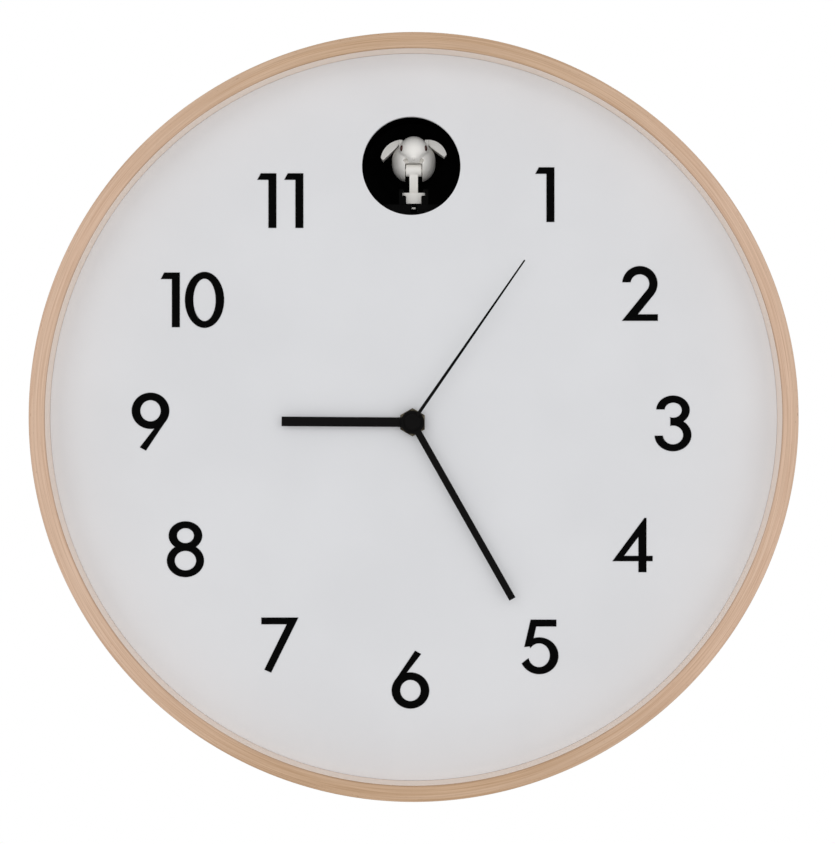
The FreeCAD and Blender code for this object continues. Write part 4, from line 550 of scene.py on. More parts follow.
def cross_recessed(blank, top, reach, width, deep):
    """Cuts a tapered cross into a screw head whose top is at a depth behind the dial."""
    cutter = bmesh.new()
    for turn in (0.0, 90.0):
        arm = bmesh.ops.create_cube(cutter, size=1.0)["verts"]
        for corner in arm:
            taper = 1.0 if corner.co.y > 0 else 0.45
            corner.co = Vector((corner.co.x * 2 * reach * taper, top + (deep if corner.co.y > 0 else -deep),
                                corner.co.z * width * (1.0 if corner.co.y > 0 else 0.7)))
        bmesh.ops.rotate(cutter, verts=arm, matrix=Matrix.Rotation(math.radians(turn), 3, "Y"))
    # The two arms overlap, which the exact solver allows only with use_self.
    return with_modifier(blank, "BOOLEAN", cutter, solver="EXACT", use_self=True)


def pan_screw(radius, high, shank, length):
    """A pan-head screw that points towards the front, its head's seat at depth 0."""
    dome = []
    for degrees in range(0, 90, 15):
        turn = math.radians(degrees)
        dome.append((radius * math.cos(turn) ** 0.6, high * (0.35 + 0.65 * math.sin(turn))))
    blank = turned([(0, -length), (shank * 0.5, -length), (shank, -length * 0.85), (shank, 0),
                    (radius * 0.97, 0), (radius, high * 0.1), *dome, (0, high)], 32)
    return cross_recessed(blank, high, radius * 0.62, radius * 0.24, high * 0.62)


def sunk_screw(radius, high, shank, length):
    """A countersunk screw whose flat top is at depth high."""
    blank = turned([(0, -length), (shank, -length * 0.8), (shank, 0), (radius, high - 0.1 * MM),
                    (radius - 0.1 * MM, high), (0, high)], 32)
    return cross_recessed(blank, high, radius * 0.6, radius * 0.24, high * 0.7)


screw_set = Machine("screws_at_places", Screw="Object", Seed="Int")
screw_turn = screw_set.node("FunctionNodeRandomValue", {
    "Min": 0.0, "Max": math.tau, "Seed": screw_set.given("Seed")}, output=1, data_type="FLOAT")
screw_mesh = screw_set.node("GeometryNodeObjectInfo", {"Object": screw_set.given("Screw")}, output="Geometry")
screw_angles = screw_set.node("ShaderNodeCombineXYZ", {1: screw_turn})
screw_set.ends_with(screw_set.node("GeometryNodeInstanceOnPoints", {
    "Points": screw_set.given("Start"), "Instance": screw_mesh, "Rotation": screw_angles}))


def screws(name, screw, places, seed, slot, node):
    """A set of like screws, one at each place."""
    one_screw = pattern(screw)
    spots = bpy.data.meshes.new(name)
    spots.from_pydata(places, [], [])
    piece = screw_set.run(name, spots, Screw=one_screw, Seed=seed, Finish=zinc)
    bpy.data.objects.remove(one_screw)
    finished(reshaped(piece, 32), "case", slot, node)


def unit_spots(places, seat):
    """Places measured from the port's middle, at a depth."""
    return [(PORT_X + x * MM, seat, PORT_Z + z * MM) for x, z in places]


unit_low, unit_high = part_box("cuckoo_case")
PORT_X, PORT_Z = (unit_low.x + unit_high.x) / 2, unit_high.z - 30 * MM
DIAL_BACK = unit_low.y
HANGER_SCREW_X, HANGER_SCREW_Z = 14.5 * MM, -3 * MM
screws("hanger_screw_pair", sunk_screw(2.9 * MM, 1.35 * MM, 1.5 * MM, 10.4 * MM),
       [(side * HANGER_SCREW_X, -1.5 * MM, HANGER_SCREW_Z) for side in (-1, 1)], 3, "steel", "hanger_screws")
SUPPORT_ORBIT = SUPPORT_OUTER - SUPPORT_WIDTH / 2
screws("dial_screw_ring", pan_screw(2.8 * MM, 1.8 * MM, 1.35 * MM, 14.4 * MM),
       [(ring_middle.x + SUPPORT_ORBIT * math.cos(math.radians(turn)), support_high.y,
         ring_middle.z + SUPPORT_ORBIT * math.sin(math.radians(turn))) for turn in range(30, 360, 60)],
       5, "steel", "dial_screws")
screws("unit_screw_set", pan_screw(2.8 * MM, 1.8 * MM, 1.35 * MM, 4.4 * MM),
       unit_spots([(-48, 20), (48, 20), (-48, -88), (48, -88)], DIAL_BACK + 2 * MM),
       7, "steel", "unit_screws")
cover_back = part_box("back_cover")[1].y
screws("cover_screw_set", pan_screw(2.6 * MM, 1.6 * MM, 1.15 * MM, 9.9 * MM),
       unit_spots([(-54, 24), (54, 24), (-54, -93.5), (0, -93.5)], cover_back),
       9, "steel", "cover_screws")

# ---------------------------------------------------------------- dial
# A 4 mm fibreboard disc, sprayed with satin white lacquer on its face and edge, with the bird's port and the
# hands' hole cut through it.


def lacquer_finish():
    lacquer = Finish("white_lacquer", srgb(228, 229, 232), 0.48, {"Specular IOR Level": 0.35})
    cloud = lacquer.between(lacquer.noise(70 * MM, detail=2.0), 0.3, 0.7)
    radius, depth, turn_x, turn_z = round_grain(lacquer)
    # The dial's outer few millimetres are painted lighter: painted light, cancelling the shade that the ring
    # casts round the dial's edge.
    rim = lacquer.between(radius, 176 * MM, 182 * MM)
    colour = lacquer.mix(cloud, srgb(226, 227, 230), srgb(230, 231, 234))
    lacquer.set("Base Color", lacquer.mix(0.35 * rim, colour, srgb(246, 246, 247)))
    spray = lacquer.noise(0.5 * MM, detail=2.0)
    lacquer.set("Roughness", 0.44 + 0.08 * cloud)
    lacquer.bump(spray, 0.004 * MM, 0.5)
    return lacquer.material


dial_low, dial_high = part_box("dial")
DIAL_RADIUS = (dial_high.x - dial_low.x) / 2
AXIS_X, AXIS_Z = -0.6 * MM, ring_middle.z - 2.6 * MM
PRINT_X, PORT_RADIUS = -1.2 * MM, 24.65 * MM
white = lacquer_finish()
dial = plate([circle(DIAL_RADIUS + 0.05 * MM, 256, ring_middle.x, ring_middle.z),
              circle(PORT_RADIUS, 160, PRINT_X, PORT_Z), circle(4.3 * MM, 48, AXIS_X, AXIS_Z)],
             dial_low.y, dial_high.y, 0.08 * MM, 3)
as_piece("white_dial", dial, white, "case", "dial_white", "dial")

# ---------------------------------------------------------------- numerals
# Screen-printed in one thick coat of matt black ink. The film is a quarter of a millimetre, with a faint
# mesh texture left by the screen.


def ink_finish():
    ink = Finish("screen_ink", srgb(6, 6, 6), 0.8, {"Specular IOR Level": 0.03})
    mesh = ink.noise(0.18 * MM, detail=1.0)
    cloud = ink.noise(9 * MM)
    ink.set("Base Color", ink.mix(cloud, srgb(3, 3, 3), srgb(9, 9, 9)))
    ink.set("Roughness", 0.74 + 0.16 * cloud)
    ink.bump(mesh, 0.01 * MM, 0.5)
    return ink.material


def repaint(finish, *nodes):
    """Gives carried-over CAD nodes their finish."""
    for node in nodes:
        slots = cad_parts[node].material_slots
        for place in slots:
            place.material = finish
        if not slots:
            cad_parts[node].data.materials.append(finish)


repaint(ink_finish(), "numerals")

# ---------------------------------------------------------------- hands
# Stamped from thin aluminium and sprayed satin black. Each blade runs into a round hub that is pressed on its
# tube; the second hand's hub is a small turned cap.


def hand_outline(hub, length, width, tip_width):
    """A blade that runs up from a round hub, as one closed loop."""
    root = math.sqrt(hub * hub - width * width / 4)
    start, stop = math.atan2(root, -width / 2), math.atan2(root, width / 2) + math.tau
    arc = [start + (stop - start) * n / 56 for n in range(57)]
    around = [(hub * math.cos(turn), hub * math.sin(turn)) for turn in arc]
    return [(tip_width / 2, length), (-tip_width / 2, length), *around]


def turned_to(shell, degrees, x, z):
    """Turns a shell clockwise, as seen from the front, and puts it on the hands' axis."""
    shell.transform(Matrix.Translation((x, 0, z)) @ Matrix.Rotation(math.radians(degrees), 4, "Y"))
    return shell


def hand_finish():
    paint = Finish("black_hand_paint", srgb(5, 5, 5), 0.5, {"Specular IOR Level": 0.07})
    spray = paint.noise(0.35 * MM, detail=2.0)
    cloud = paint.noise(14 * MM)
    paint.set("Base Color", paint.mix(cloud, srgb(3, 2, 2), srgb(9, 7, 7)))
    paint.set("Roughness", 0.42 + 0.18 * cloud)
    paint.bump(spray, 0.006 * MM, 0.5)
    return paint.material


hand_black = hand_finish()
for label, body, hub, bore, length, width, tip_width, degrees, ease in (
    ("hour", "hours", 5.85, 2.6, 65.3, 4.8, 4.8, 270.4, 0.15),
    ("minute", "minutes", 5.85, 1.65, 101.2, 3.5, 3.5, 150.5, 0.15),
    ("second", "seconds", 4.0, 0.53, 98.2, 1.7, 0.8, 34.7, 0.08),
):
    low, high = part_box(label + "_hand")
    blade = plate([hand_outline(hub * MM, length * MM, width * MM, tip_width * MM), circle(bore * MM, 32)],
                  low.y, high.y, ease * MM)
    as_piece(label + "_hand_blade", turned_to(blade, degrees, AXIS_X, AXIS_Z), hand_black, body, "hand_black",
             label + "_hand")
cap_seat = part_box("second_hand")[0].y
CAP_FRONT = cap_seat - 0.55 * MM
cap = turned([(0.53 * MM, cap_seat), (4.0 * MM, cap_seat), (4.0 * MM, CAP_FRONT + 0.3 * MM),
              (3.9 * MM, CAP_FRONT + 0.1 * MM), (3.7 * MM, CAP_FRONT), (3.4 * MM, CAP_FRONT + 0.05 * MM),
              (0, CAP_FRONT + 0.03 * MM), (0, CAP_FRONT + 0.08 * MM), (0.53 * MM, CAP_FRONT + 0.08 * MM)], 64)
as_piece("second_hand_cap", cap, hand_black, "seconds", "hand_black", place=(AXIS_X, 0, AXIS_Z))

# ---------------------------------------------------------------- nut, washer and bushing
# The movement is held by a brass nut on its threaded bushing, over a thin brass washer. The brass is bright
# on its edges and has dulled to a greyish brown on its flats.


def brass_finish():
    brass = Finish("dulled_brass", srgb(100, 92, 72), 0.4, {"Metallic": 1.0})
    cloud = brass.between(brass.noise(2.5 * MM), 0.36, 0.66)
    brass.set("Base Color", brass.mix(cloud, srgb(92, 86, 72), srgb(56, 50, 42)))
    brass.set("Roughness", 0.34 + 0.2 * cloud)
    brass.bump(brass.noise(0.3 * MM), 0.01 * MM, 0.5)
    return brass.material


brass = brass_finish()
nut_low, nut_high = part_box("hex_nut")
NUT_CORNER = (nut_high.z - nut_low.z) / 2
hexagon = [(NUT_CORNER * math.sin(math.radians(60 * n)), NUT_CORNER * math.cos(math.radians(60 * n)))
           for n in range(6)]
nut = plate([hexagon, circle(4.05 * MM, 48)], nut_low.y, nut_high.y, 0.25 * MM)
as_piece("brass_nut", nut, brass, "case", "brass", "hex_nut", place=(AXIS_X, 0, AXIS_Z))
washer_low, washer_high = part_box("washer")
washer = plate([circle(6.0 * MM, 64), circle(4.2 * MM, 48)], washer_low.y, washer_high.y, 0.1 * MM)
as_piece("brass_washer", washer, brass, "case", "brass", "washer", place=(AXIS_X, 0, AXIS_Z))
bushing_low, bushing_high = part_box("threaded_bushing")
thread = [(2.65 * MM, bushing_high.y), (5.5 * MM, bushing_high.y), (5.5 * MM, bushing_high.y - 0.6 * MM),
          (4.0 * MM, bushing_high.y - 0.6 * MM)]
THREAD_PITCH = 0.75 * MM
crests = int((bushing_high.y - 0.9 * MM - bushing_low.y) / THREAD_PITCH)
for n in range(crests):
    crest = bushing_high.y - 0.9 * MM - n * THREAD_PITCH
    thread += [(4.0 * MM, crest), (3.7 * MM, crest - THREAD_PITCH / 2)]
thread += [(3.7 * MM, bushing_low.y), (2.65 * MM, bushing_low.y)]
as_piece("brass_bushing", turned(thread, 48), brass, "case", "brass", "threaded_bushing",
         place=(AXIS_X, 0, AXIS_Z))

# ---------------------------------------------------------------- cuckoo unit's case and cover
# Injection moulded from black ABS with a fine spark-eroded grain. The bird's chamber is moulded in one with
# the case, its inside painted near-black as painted shade for the deep recess; the cover is a flat moulding
# with a round grille, held by four screws.


def moulded(name, dark, light, roughness, gloss=0.35, grain=0.35 * MM, depth=0.02 * MM):
    """A moulded plastic: a grained skin with faint flow clouds, duller where it has been handled."""
    plastic = Finish(name, dark, roughness, {"Specular IOR Level": gloss})
    cloud = plastic.between(plastic.noise(11 * MM, detail=2.0), 0.34, 0.68)
    skin = plastic.noise(grain, detail=1.5)
    plastic.set("Base Color", plastic.mix(cloud, dark, light))
    plastic.set("Roughness", roughness + 0.12 * cloud + 0.05 * skin)
    plastic.bump(skin, depth, 0.6)
    return plastic


unit_black = moulded("unit_black_abs", srgb(20, 20, 21), srgb(28, 28, 29), 0.5, 0.3).material
case_black = moulded("case_black_abs", srgb(20, 20, 21), srgb(28, 28, 29), 0.6, 0.06)
# Inside the chamber the plastic is painted near-black: painted shade for the deep recess behind the port.
chamber_painted_shade = 1.0 - case_black.between(case_black.off_axis((PORT_X, DIAL_BACK, PORT_Z)), 26.6 * MM, 27.2 * MM)
case_colour = case_black.mix(case_black.noise(9 * MM), srgb(19, 19, 20), srgb(28, 28, 29))
case_black.set("Base Color", case_black.mix(chamber_painted_shade, case_colour, srgb(1, 1, 1)))
recut("cuckoo_unit_case", "cuckoo_case", 0.3 * MM, case_black.material, "case", "unit_black")
recut("cuckoo_unit_cover", "back_cover", 0.15 * MM, unit_black, "case", "unit_black")

# ---------------------------------------------------------------- battery door
# A thin moulded leaf that swings up on two steel pins at its upper edge, with a row of grip ribs near the
# free edge for a thumb.

recut("battery_door_leaf", "battery_door", 0.2 * MM, unit_black, "door", "unit_black")


def bar(length, high, wide):
    """A rib with a rounded back, that lies along X and stands out towards the wall."""
    shell = bmesh.new()
    arch = [(wide / 2 * math.cos(math.pi * n / 6), high * math.sin(math.pi * n / 6)) for n in range(7)]
    ends = [[shell.verts.new((x, out, up)) for up, out in arch] for x in (-length / 2, length / 2)]
    for n in range(len(arch)):
        after = (n + 1) % len(arch)
        shell.faces.new((ends[0][n], ends[0][after], ends[1][after], ends[1][n]))
    shell.faces.new(ends[0][::-1])
    shell.faces.new(ends[1])
    bmesh.ops.recalc_face_normals(shell, faces=shell.faces)
    return shell


rows = Machine("ribs_in_a_row", Rib="Object", Count="Int", Step="Vector")
row_points = rows.node("GeometryNodeMeshLine", {"Count": rows.given("Count"), "Offset": rows.given("Step")},
                       mode="OFFSET")
row_rib = rows.node("GeometryNodeObjectInfo", {"Object": rows.given("Rib")}, output="Geometry")
rows.ends_with(rows.node("GeometryNodeInstanceOnPoints", {"Points": row_points, "Instance": row_rib}))

door_low, door_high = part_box("battery_door")
rib = pattern(bar(22 * MM, 0.5 * MM, 1.1 * MM))
grip = rows.run("battery_door_grip", Rib=rib, Count=6, Step=(0, 0, 2.0 * MM), Finish=unit_black)
bpy.data.objects.remove(rib)
grip_place = ((door_low.x + door_high.x) / 2, door_high.y - 0.05 * MM, door_low.z + 5 * MM)
finished(reshaped(grip, move=Matrix.Translation(grip_place)), "door", "unit_black")

# ---------------------------------------------------------------- loudspeaker
# A 50 mm paper-cone speaker behind the grille: pressed basket, ferrite magnet, a grey doped paper cone with a
# rolled edge, and a domed dust cap.



def half_round(middle, out, radius, high, steps, stop):
    """Points on a half ellipse, from its outer side, up to a share of the half turn."""
    turns = [math.pi * n / steps for n in range(stop)]
    return [(middle + radius * math.cos(turn), out + high * math.sin(turn)) for turn in turns]


speaker_low, speaker_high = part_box("speaker")
speaker_middle = (speaker_low + speaker_high) / 2
rolled_edge = half_round(21.5, -0.9, 1.1, 0.7, 8, 9)
dust_cap = half_round(0, -7.8, 7.0, 2.0, 12, 6)
speaker_line = [(0, -19.9), (11.6, -19.9), (12, -19.5), (12, -12), (11, -12), (22.5, -3), (24.8, -3),
                (25, -2.8), (25, -0.3), (24.7, 0), (23.4, 0), (22.8, -0.9), *rolled_edge, (20.0, -1.6),
                (8.2, -8.2), *dust_cap, (0, -5.8)]
paper_cone = Finish("speaker_paper_and_steel", srgb(40, 40, 42), 0.8)
steel_rim = paper_cone.between(paper_cone.off_axis(speaker_middle), 22.9 * MM, 23.2 * MM)
fibres = paper_cone.noise(0.6 * MM, detail=4.0)
cone_colour = paper_cone.mix(fibres, srgb(30, 30, 32), srgb(58, 57, 56))
paper_cone.set("Base Color", paper_cone.mix(steel_rim, cone_colour, srgb(150, 152, 156)))
paper_cone.set("Metallic", steel_rim * 0.9)
paper_cone.set("Roughness", 0.85 - 0.45 * steel_rim)
paper_cone.bump(fibres, 0.05 * MM, 0.7)
speaker_line = [(radius * MM, speaker_high.y + along * MM) for radius, along in speaker_line]
as_piece("loudspeaker", turned(speaker_line, 96), paper_cone.material, "case", "speaker_black", "speaker",
         place=(speaker_middle.x, 0, speaker_middle.z))

# ---------------------------------------------------------------- dry cells
# Steel cans in printed sleeves: a plain slate-blue sleeve with one pale band at the positive end, shrunk over
# both rims. One small cell drives the movement and two large ones the bird.


def cell_finish(name, start, end):
    """start and end are where the sleeve's two rims are, along X."""
    sleeve = Finish(name, srgb(60, 74, 92), 0.35, {"Specular IOR Level": 0.5})
    along = sleeve.parts(sleeve.place)[0]
    scuff = sleeve.between(sleeve.noise(4 * MM, detail=4.0), 0.45, 0.7)
    colour = sleeve.mix(scuff * 0.5, srgb(52, 66, 84), srgb(82, 94, 110))
    band = sleeve.between(along, end - 9 * MM, end - 8.9 * MM) * (1 - sleeve.between(along, end - 6 * MM,
                                                                                    end - 5.9 * MM))
    colour = sleeve.mix(band, colour, srgb(214, 216, 214))
    bare = sleeve.between(along, end - 0.15 * MM, end) + 1 - sleeve.between(along, start, start + 0.15 * MM)
    sleeve.set("Base Color", sleeve.mix(bare, colour, srgb(190, 192, 196)))
    sleeve.set("Metallic", bare)
    sleeve.set("Roughness", 0.32 + 0.2 * scuff)
    sleeve.bump(sleeve.noise(1.5 * MM), 0.01 * MM, 0.4)
    return sleeve.material


def cell(radius, start, end, nub_radius, nub_end):
    rim, step = min(0.8 * MM, radius / 8), 0.35 * MM
    line = [(0, start + step), (radius - 3 * rim, start + step), (radius - 2 * rim, start),
            (radius - rim, start), (radius, start + rim), (radius, end - rim), (radius - rim, end),
            (radius - 2 * rim, end), (radius - 3 * rim, end - step), (nub_radius, end - step),
            (nub_radius, nub_end - 0.2 * MM), (nub_radius - 0.3 * MM, nub_end), (0, nub_end)]
    return turned(line, 64, "x")


for node, nub, nub_radius, count in (("aa_cell", 1.2 * MM, 2.7 * MM, 1), ("c_cells", 1.8 * MM, 3.3 * MM, 2)):
    low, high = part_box(node)
    radius = (high.y - low.y) / 2
    made = []
    for n in range(count):
        one_cell = cell(radius, low.x, high.x - nub, nub_radius, high.x)
        one_cell.transform(Matrix.Translation((0, low.y + radius,
                                               low.z + (high.z - low.z) * (2 * n + 1) / (2 * count))))
        made.append(one_cell)
    as_piece(node + "_sleeved", together(*made), cell_finish(node + "_sleeve", low.x, high.x - nub), "case",
             "cell_jacket", node)

# ---------------------------------------------------------------- wound wire: coil and cell springs
# The coil is a few hundred turns of enamelled copper on a bobbin, laid side by side. The cells' negative
# contacts are cones of nickel-plated spring wire, riveted to flat leaves.

winder = Machine("wound_wire", Turns="Float", Inner="Float", Outer="Float", Length="Float", Wire="Float",
                 Smoothness="Int")
wire_path = winder.node("GeometryNodeCurveSpiral", {
    "Resolution": winder.given("Smoothness"), "Rotations": winder.given("Turns"),
    "Start Radius": winder.given("Outer"), "End Radius": winder.given("Inner"),
    "Height": winder.given("Length")})
wire_section = winder.node("GeometryNodeCurvePrimitiveCircle", {
    "Resolution": 8, "Radius": winder.given("Wire")})
winder.ends_with(winder.node("GeometryNodeCurveToMesh", {
    "Curve": wire_path, "Profile Curve": wire_section, "Fill Caps": True}))
ALONG_X = Matrix.Rotation(math.radians(90), 4, "Y")

copper = Finish("enamelled_copper", srgb(190, 110, 62), 0.3, {"Metallic": 1.0})
enamel = copper.between(copper.noise(1.2 * MM), 0.35, 0.65)
copper.set("Base Color", copper.mix(enamel, srgb(196, 112, 62), srgb(150, 76, 44)))
copper.set("Roughness", 0.24 + 0.16 * enamel)
coil_low, coil_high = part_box("coil")
coil_middle = (coil_low + coil_high) / 2
WIRE = 0.12 * MM
coil_length = coil_high.x - coil_low.x - 2 * 0.8 * MM - 2 * WIRE
windings = winder.run("coil_windings", Turns=coil_length / (2.1 * WIRE), Inner=2.95 * MM, Outer=2.95 * MM,
                      Length=coil_length, Wire=WIRE, Smoothness=24, Finish=copper.material)
coil_start = (coil_middle.x - coil_length / 2, coil_middle.y, coil_middle.z)
finished(reshaped(windings, 60, Matrix.Translation(coil_start) @ ALONG_X), "case", "copper")
repaint(copper.material, "coil")
nickel = steel_finish("nickel_plated_spring", srgb(206, 204, 198), 0.22, srgb(170, 168, 160))
repaint(nickel, "stator", "door_pins", "bow_pin", "motor")


def box_shell(low, high, ease=0.0):
    """A box between two corners, with its edges eased."""
    shell = bmesh.new()
    bmesh.ops.create_cube(shell, size=1.0)
    low, high = Vector(low), Vector(high)
    shell.transform(Matrix.Translation((low + high) / 2) @ Matrix.Diagonal((*(high - low), 1.0)))
    if ease:
        bmesh.ops.bevel(shell, geom=shell.edges[:], offset=ease, segments=2, affect="EDGES", profile=0.5)
        eased(shell)
    return shell


def cell_contacts(name, node, rows_up, half, spring_start, spring_end, big, small):
    """A leaf at each end of each cell, with a conical spring on the negative one."""
    low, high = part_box(node)
    depth = (low.y + high.y) / 2
    leaves = []
    for n, up in enumerate(rows_up):
        for start, end in ((low.x, low.x + 0.4 * MM), (high.x - 0.4 * MM, high.x)):
            leaves.append(box_shell((start, low.y, up - half), (end, high.y, up + half), 0.1 * MM))
        spring = winder.run(f"{name}_spring_{n}", Turns=4.5, Inner=small, Outer=big,
                            Length=spring_end - spring_start, Wire=0.35 * MM, Smoothness=28, Finish=nickel)
        place = Matrix.Translation((spring_start, depth, up)) @ ALONG_X
        finished(reshaped(spring, 60, place), "case", "steel")
    as_piece(name + "_leaves", together(*leaves), nickel, "case", "steel", node)


aa_low, aa_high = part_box("aa_cell")
contacts_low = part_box("movement_contacts")[0]
cell_contacts("movement_contact", "movement_contacts", [(aa_low.z + aa_high.z) / 2], 5 * MM,
              contacts_low.x + 0.75 * MM, aa_low.x - 0.35 * MM, 3.6 * MM, 2.0 * MM)
cc_low, cc_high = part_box("c_cells")
contacts_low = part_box("cell_contacts")[0]
cell_contacts("unit_contact", "cell_contacts",
              [cc_low.z + (cc_high.z - cc_low.z) * share for share in (0.25, 0.75)], 6 * MM,
              contacts_low.x + 0.75 * MM, cc_low.x - 0.1 * MM, 4.6 * MM, 2.8 * MM)

# ---------------------------------------------------------------- quartz movement
# A black styrene box with rounded corners, a cover pressed on over the train, and a ribbed knob at the back
# for setting the hands. The wheels inside are white acetal, beside a plated stator.

movement_black = moulded("movement_black_styrene", srgb(26, 26, 27), srgb(38, 38, 39), 0.42, 0.4).material
recut("movement_shell", "movement_case", 0.35 * MM, movement_black, "case", "movement_black")
recut("movement_lid", "movement_cover", 0.25 * MM, movement_black, "case", "movement_black")
repaint(movement_black, "setting_knob")

rounds = Machine("ribs_round_a_knob", Rib="Object", Count="Int", Radius="Float")
rim_points = rounds.node("GeometryNodeMeshCircle", {"Vertices": rounds.given("Count"),
                                                    "Radius": rounds.given("Radius")})
rib_place = rounds.node("GeometryNodeInputPosition")
rib_turn = rounds.node("FunctionNodeAlignEulerToVector", {"Vector": rib_place}, axis="X")
round_rib = rounds.node("GeometryNodeObjectInfo", {"Object": rounds.given("Rib")}, output="Geometry")
rounds.ends_with(rounds.node("GeometryNodeInstanceOnPoints", {"Points": rim_points, "Instance": round_rib,
                                                              "Rotation": rib_turn}))


def knob_ribs(name, count, radius, rib_radius, length, middle, finish, body, slot):
    """Half-round ribs round a knob's rim, along its axis."""
    line = [(0, -length / 2), (rib_radius * 0.7, -length / 2), (rib_radius, -length / 2 + 0.2 * MM),
            (rib_radius, length / 2 - 0.2 * MM), (rib_radius * 0.7, length / 2), (0, length / 2)]
    shell = turned(line, 10)
    shell.transform(FACE_ON)
    rib = pattern(shell)
    ribs = rounds.run(name, Rib=rib, Count=count, Radius=radius, Finish=finish)
    bpy.data.objects.remove(rib)
    finished(reshaped(ribs, 50, Matrix.Translation(middle) @ FACE_ON), body, slot)


knob_low, knob_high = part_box("setting_knob")
knob_ribs("setting_knob_ribs", 30, (knob_high.x - knob_low.x) / 2, 0.32 * MM, 2.6 * MM,
          ((knob_low.x + knob_high.x) / 2, knob_high.y - 1.4 * MM, (knob_low.z + knob_high.z) / 2),
          movement_black, "setting", "movement_black")

acetal = moulded("white_acetal", srgb(222, 221, 214), srgb(232, 231, 225), 0.38, 0.5, 0.6 * MM,
                 0.008 * MM).material
repaint(acetal, "middle_plate", "intermediate_wheel", "second_wheel", "third_wheel", "centre_wheel",
        "motion_wheel", "hour_wheel", "reduction_gear", "motor_pinion", "rotor")
repaint(brass, "minute_cannon")

# ---------------------------------------------------------------- circuit boards
# Green solder mask over copper tracks, with black resin chips and plated parts. The sound board carries the
# volume control, the sound switch and the test button on its back.


def board_finish(name, face):
    """face is the depth of the board's parts side."""
    board = Finish(name, srgb(28, 84, 52), 0.35, {"Specular IOR Level": 0.5})
    across, depth, up = board.parts(board.place)
    track = board.maths("FRACT", (across + 0.6 * board.maths("PINGPONG", up, 6 * MM)) / (1.9 * MM))
    track = board.between(board.maths("ABSOLUTE", track - 0.5), 0.26, 0.30)
    cloud = board.noise(3 * MM)
    colour = board.mix(track * 0.8, srgb(24, 76, 46), srgb(44, 112, 66))
    colour = board.mix(cloud * 0.3, colour, srgb(20, 60, 40))
    parts = board.between(depth - face, 0.05 * MM, 0.1 * MM)
    board.set("Base Color", board.mix(parts, colour, srgb(34, 34, 36)))
    board.set("Roughness", 0.32 + 0.2 * parts + 0.1 * cloud)
    board.bump(track, 0.03 * MM, 0.5)
    return board.material


repaint(board_finish("movement_board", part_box("movement_circuit")[0].y + 1.2 * MM), "movement_circuit")
repaint(board_finish("sound_board_green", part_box("sound_board")[0].y + 3.6 * MM), "sound_board")

# ---------------------------------------------------------------- controls on the unit's back
# A ribbed volume knob with a moulded pointer groove, a slide switch for the night silencer, and a grey domed
# button that makes the bird call once.

volume_low, volume_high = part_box("volume_knob")
recut("volume_disc", "volume_knob", 0.25 * MM, unit_black, "volume", "unit_black")
knob_ribs("volume_ribs", 36, (volume_high.x - volume_low.x) / 2 - 0.12 * MM, 0.28 * MM, 3.4 * MM,
          ((volume_low.x + volume_high.x) / 2, volume_high.y - 2.1 * MM, (volume_low.z + volume_high.z) / 2),
          unit_black, "volume", "unit_black")
recut("slide_switch", "mode_switch", 0.3 * MM, unit_black, "mode", "unit_black")
button_grey = moulded("button_grey", srgb(132, 134, 138), srgb(146, 148, 152), 0.4).material
button_low, button_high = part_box("test_button")
button_radius = (button_high.x - button_low.x) / 2
button_line = [(0, button_low.y), (button_radius, button_low.y), (button_radius, button_high.y - 0.6 * MM)]
button_line += half_round(0, button_high.y - 0.6 * MM, button_radius, 0.6 * MM, 12, 6)[1:]
as_piece("call_button", turned([*button_line, (0, button_high.y)], 48), button_grey, "test", "button_grey",
         "test_button", place=((button_low.x + button_high.x) / 2, 0, (button_low.z + button_high.z) / 2))

# ---------------------------------------------------------------- trigger lead
# A thin black PVC lead from the movement to the sound board, held between them, with the matt bloom that
# soft PVC gets.

repaint(moulded("lead_pvc", srgb(22, 22, 23), srgb(34, 34, 35), 0.55, 0.3, 0.8 * MM, 0.02 * MM).material,
        "trigger_lead")

# ---------------------------------------------------------------- drive, rails and carriage
# The rails, rack and bracket are black acetal; the rails, the rack and the rack's pinion are painted
# near-black beyond that, as painted shade deep in the chamber. The carriage is a white moulding that slides
# in the rails' slots on two ears, with a stem and a round knuckle that carry the bird.

# Painted shade: this near-black is darker than black acetal and stands in for the shade in the chamber; the
# rack's pinion, whose own colour is white acetal, is painted with it too.
rails_black_with_painted_shade = moulded("rail_black_acetal", srgb(2, 2, 2), srgb(4, 4, 4), 0.7, 0.06).material
recut("bird_rails", "guide_rails", 0.15 * MM, rails_black_with_painted_shade, "case", "unit_black")
repaint(rails_black_with_painted_shade, "rack", "rack_pinion")
repaint(unit_black, "drive_bracket")
bird_white = moulded("bird_white_plastic", srgb(247, 245, 240), srgb(252, 250, 246), 0.45, 0.35, 0.5 * MM,
                     0.012 * MM).material
recut("carriage_moulding", "bird_carriage", 0.15 * MM, bird_white, "carriage", "bird_white")
repaint(bird_white, "rack_key")

# ---------------------------------------------------------------- bird
# Two white mouldings glued along the middle: a domed head with a short beak, and a hollow breast slotted for
# the knuckle. The wings and the lower beak swing on fine pins, and the eyes are dark beads pressed in.


def egg(middle, half, power=2.0, squeeze=None, around=96, up=64):
    """A closed shell about a middle, all in millimetres from the port's middle; power above 2 squares it."""
    shell = bmesh.new()
    rings = []
    for row in range(up + 1):
        tilt = math.pi * row / up - math.pi / 2
        count = around if 0 < row < up else 1
        ring_points = []
        for n in range(count):
            turn = math.tau * n / around
            way = (math.cos(tilt) * math.cos(turn), math.cos(tilt) * math.sin(turn), math.sin(tilt))
            reach = sum(abs(part) ** power for part in way) ** (-1 / power)
            spot = [centre + size * part * reach
                    for centre, size, part in zip(middle, half, way, strict=True)]
            if squeeze:
                spot[0] *= squeeze(spot[2])
            ring_points.append(shell.verts.new(spot))
        rings.append(ring_points)
    fill_between(shell, zip(rings, rings[1:], strict=False), around)
    return shell


def cheeks(z):
    """How the head narrows towards the beak."""
    share = min(max((z - 3.0) / 5.5, 0.0), 1.0)
    return 0.62 + 0.38 * share * share * (3 - 2 * share)


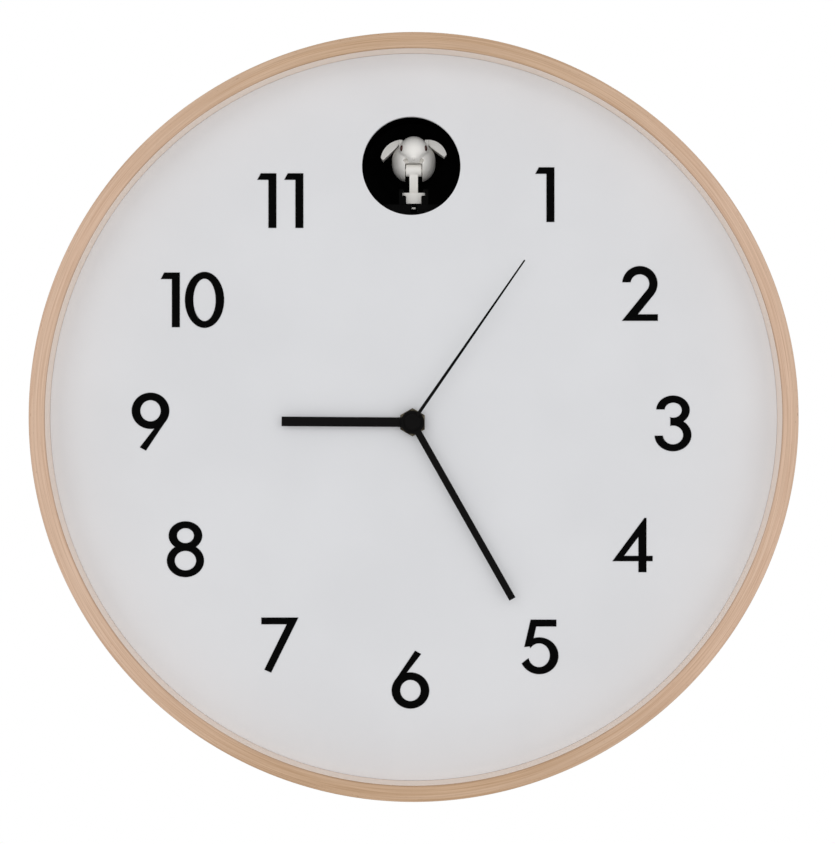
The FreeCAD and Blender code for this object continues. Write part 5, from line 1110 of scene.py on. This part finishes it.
HEAD, HEAD_HALF = (0, 12.5, 8.8), (7.4, 7.6, 7.45)
BODY, BODY_HALF = (0, 24, 3.9), (11.1, 16.1, 10.4)
SLOT_TOP, BEAK_Z = 2.6, 4.1
beak_top = turned([(0, 9.5), (3.0, 9.5), (2.0, 7.2), (1.1, 5.6), (0.4, 4.8), (0, 4.7)], 48)
beak_top.transform(Matrix.Translation((0, 0, BEAK_Z)))
solid_bird = together(egg(HEAD, HEAD_HALF, 2.0, cheeks), egg(BODY, BODY_HALF, 2.3), beak_top,
                      box_shell((-4.5, 34, 5.4), (4.5, 48, 7.4)))
solid_bird = with_modifier(solid_bird, "REMESH", mode="VOXEL", voxel_size=0.35)
solid_bird = with_modifier(solid_bird, "SMOOTH", factor=0.5, iterations=4)
SLOT_HALF = 4.33
for side in (-1, 1):
    notch = box_shell((-1.0, 0, -1.2), (1.0, 13, 1.2))
    slanted = Matrix.Rotation(side * math.radians(35), 4, "Y")
    notch.transform(Matrix.Translation((side * 3.9, 0, SLOT_TOP + 0.9)) @ slanted)
    solid_bird = with_modifier(solid_bird, "BOOLEAN", notch, solver="EXACT")
knife = box_shell((-SLOT_HALF, 0, -14), (SLOT_HALF, 44, SLOT_TOP + 0.05))
solid_bird = with_modifier(solid_bird, "BOOLEAN", knife, solver="EXACT")
solid_bird = with_modifier(solid_bird, "REMESH", mode="VOXEL", voxel_size=0.28)
solid_bird = with_modifier(solid_bird, "SMOOTH", factor=0.5, iterations=3)
WING_HINGE_X, WING_HINGE_Z, WING_FRONT, WING_BACK = 6.9, 13.7, 15.3, 29.7
for side in (-1, 1):
    for depth in (WING_FRONT - 1.3, WING_BACK + 0.3):
        inner, outer = sorted((side * (WING_HINGE_X - 1.3), side * (WING_HINGE_X + 0.6)))
        lug = box_shell((inner, depth, WING_HINGE_Z - 5.6), (outer, depth + 1, WING_HINGE_Z + 1), 0.2)
        solid_bird = together(solid_bird, lug)
    pin_start, pin_end = WING_FRONT - 0.8, WING_BACK + 0.8
    pin = turned([(0, pin_start), (0.5, pin_start), (0.5, pin_end), (0, pin_end)], 24)
    pin.transform(Matrix.Translation((side * WING_HINGE_X, 0, WING_HINGE_Z)))
    solid_bird = together(solid_bird, pin)
IN_PLACE = Matrix.Translation((PORT_X, DIAL_BACK, PORT_Z)) @ Matrix.Scale(MM, 4)
solid_bird.transform(IN_PLACE)
as_piece("bird_moulding", eased(solid_bird, 60), bird_white, "bird", "bird_white", "bird_body")
recut("bird_lower_beak", "bird_beak", 0.12 * MM, bird_white, "beak", "bird_white")
for side in ("left", "right"):
    recut(side + "_wing_moulding", side + "_wing", 0.35 * MM, bird_white, "wing_" + side, "bird_white", 3)

bead = Finish("eye_bead", srgb(58, 24, 20), 0.2, {"Specular IOR Level": 0.5})
bead.set("Base Color", bead.mix(bead.noise(0.8 * MM), srgb(46, 18, 16), srgb(74, 34, 28)))
bead.set("Roughness", 0.14 + 0.12 * bead.noise(0.5 * MM))
eyes = together(*(egg((side * 6.0, 8.9, 9.8), (0.95, 1.5, 1.65), around=32, up=24) for side in (-1, 1)))
eyes.transform(IN_PLACE)
as_piece("bird_eye_beads", eased(eyes, 60), bead.material, "bird", "eye_brown", "bird_eyes")
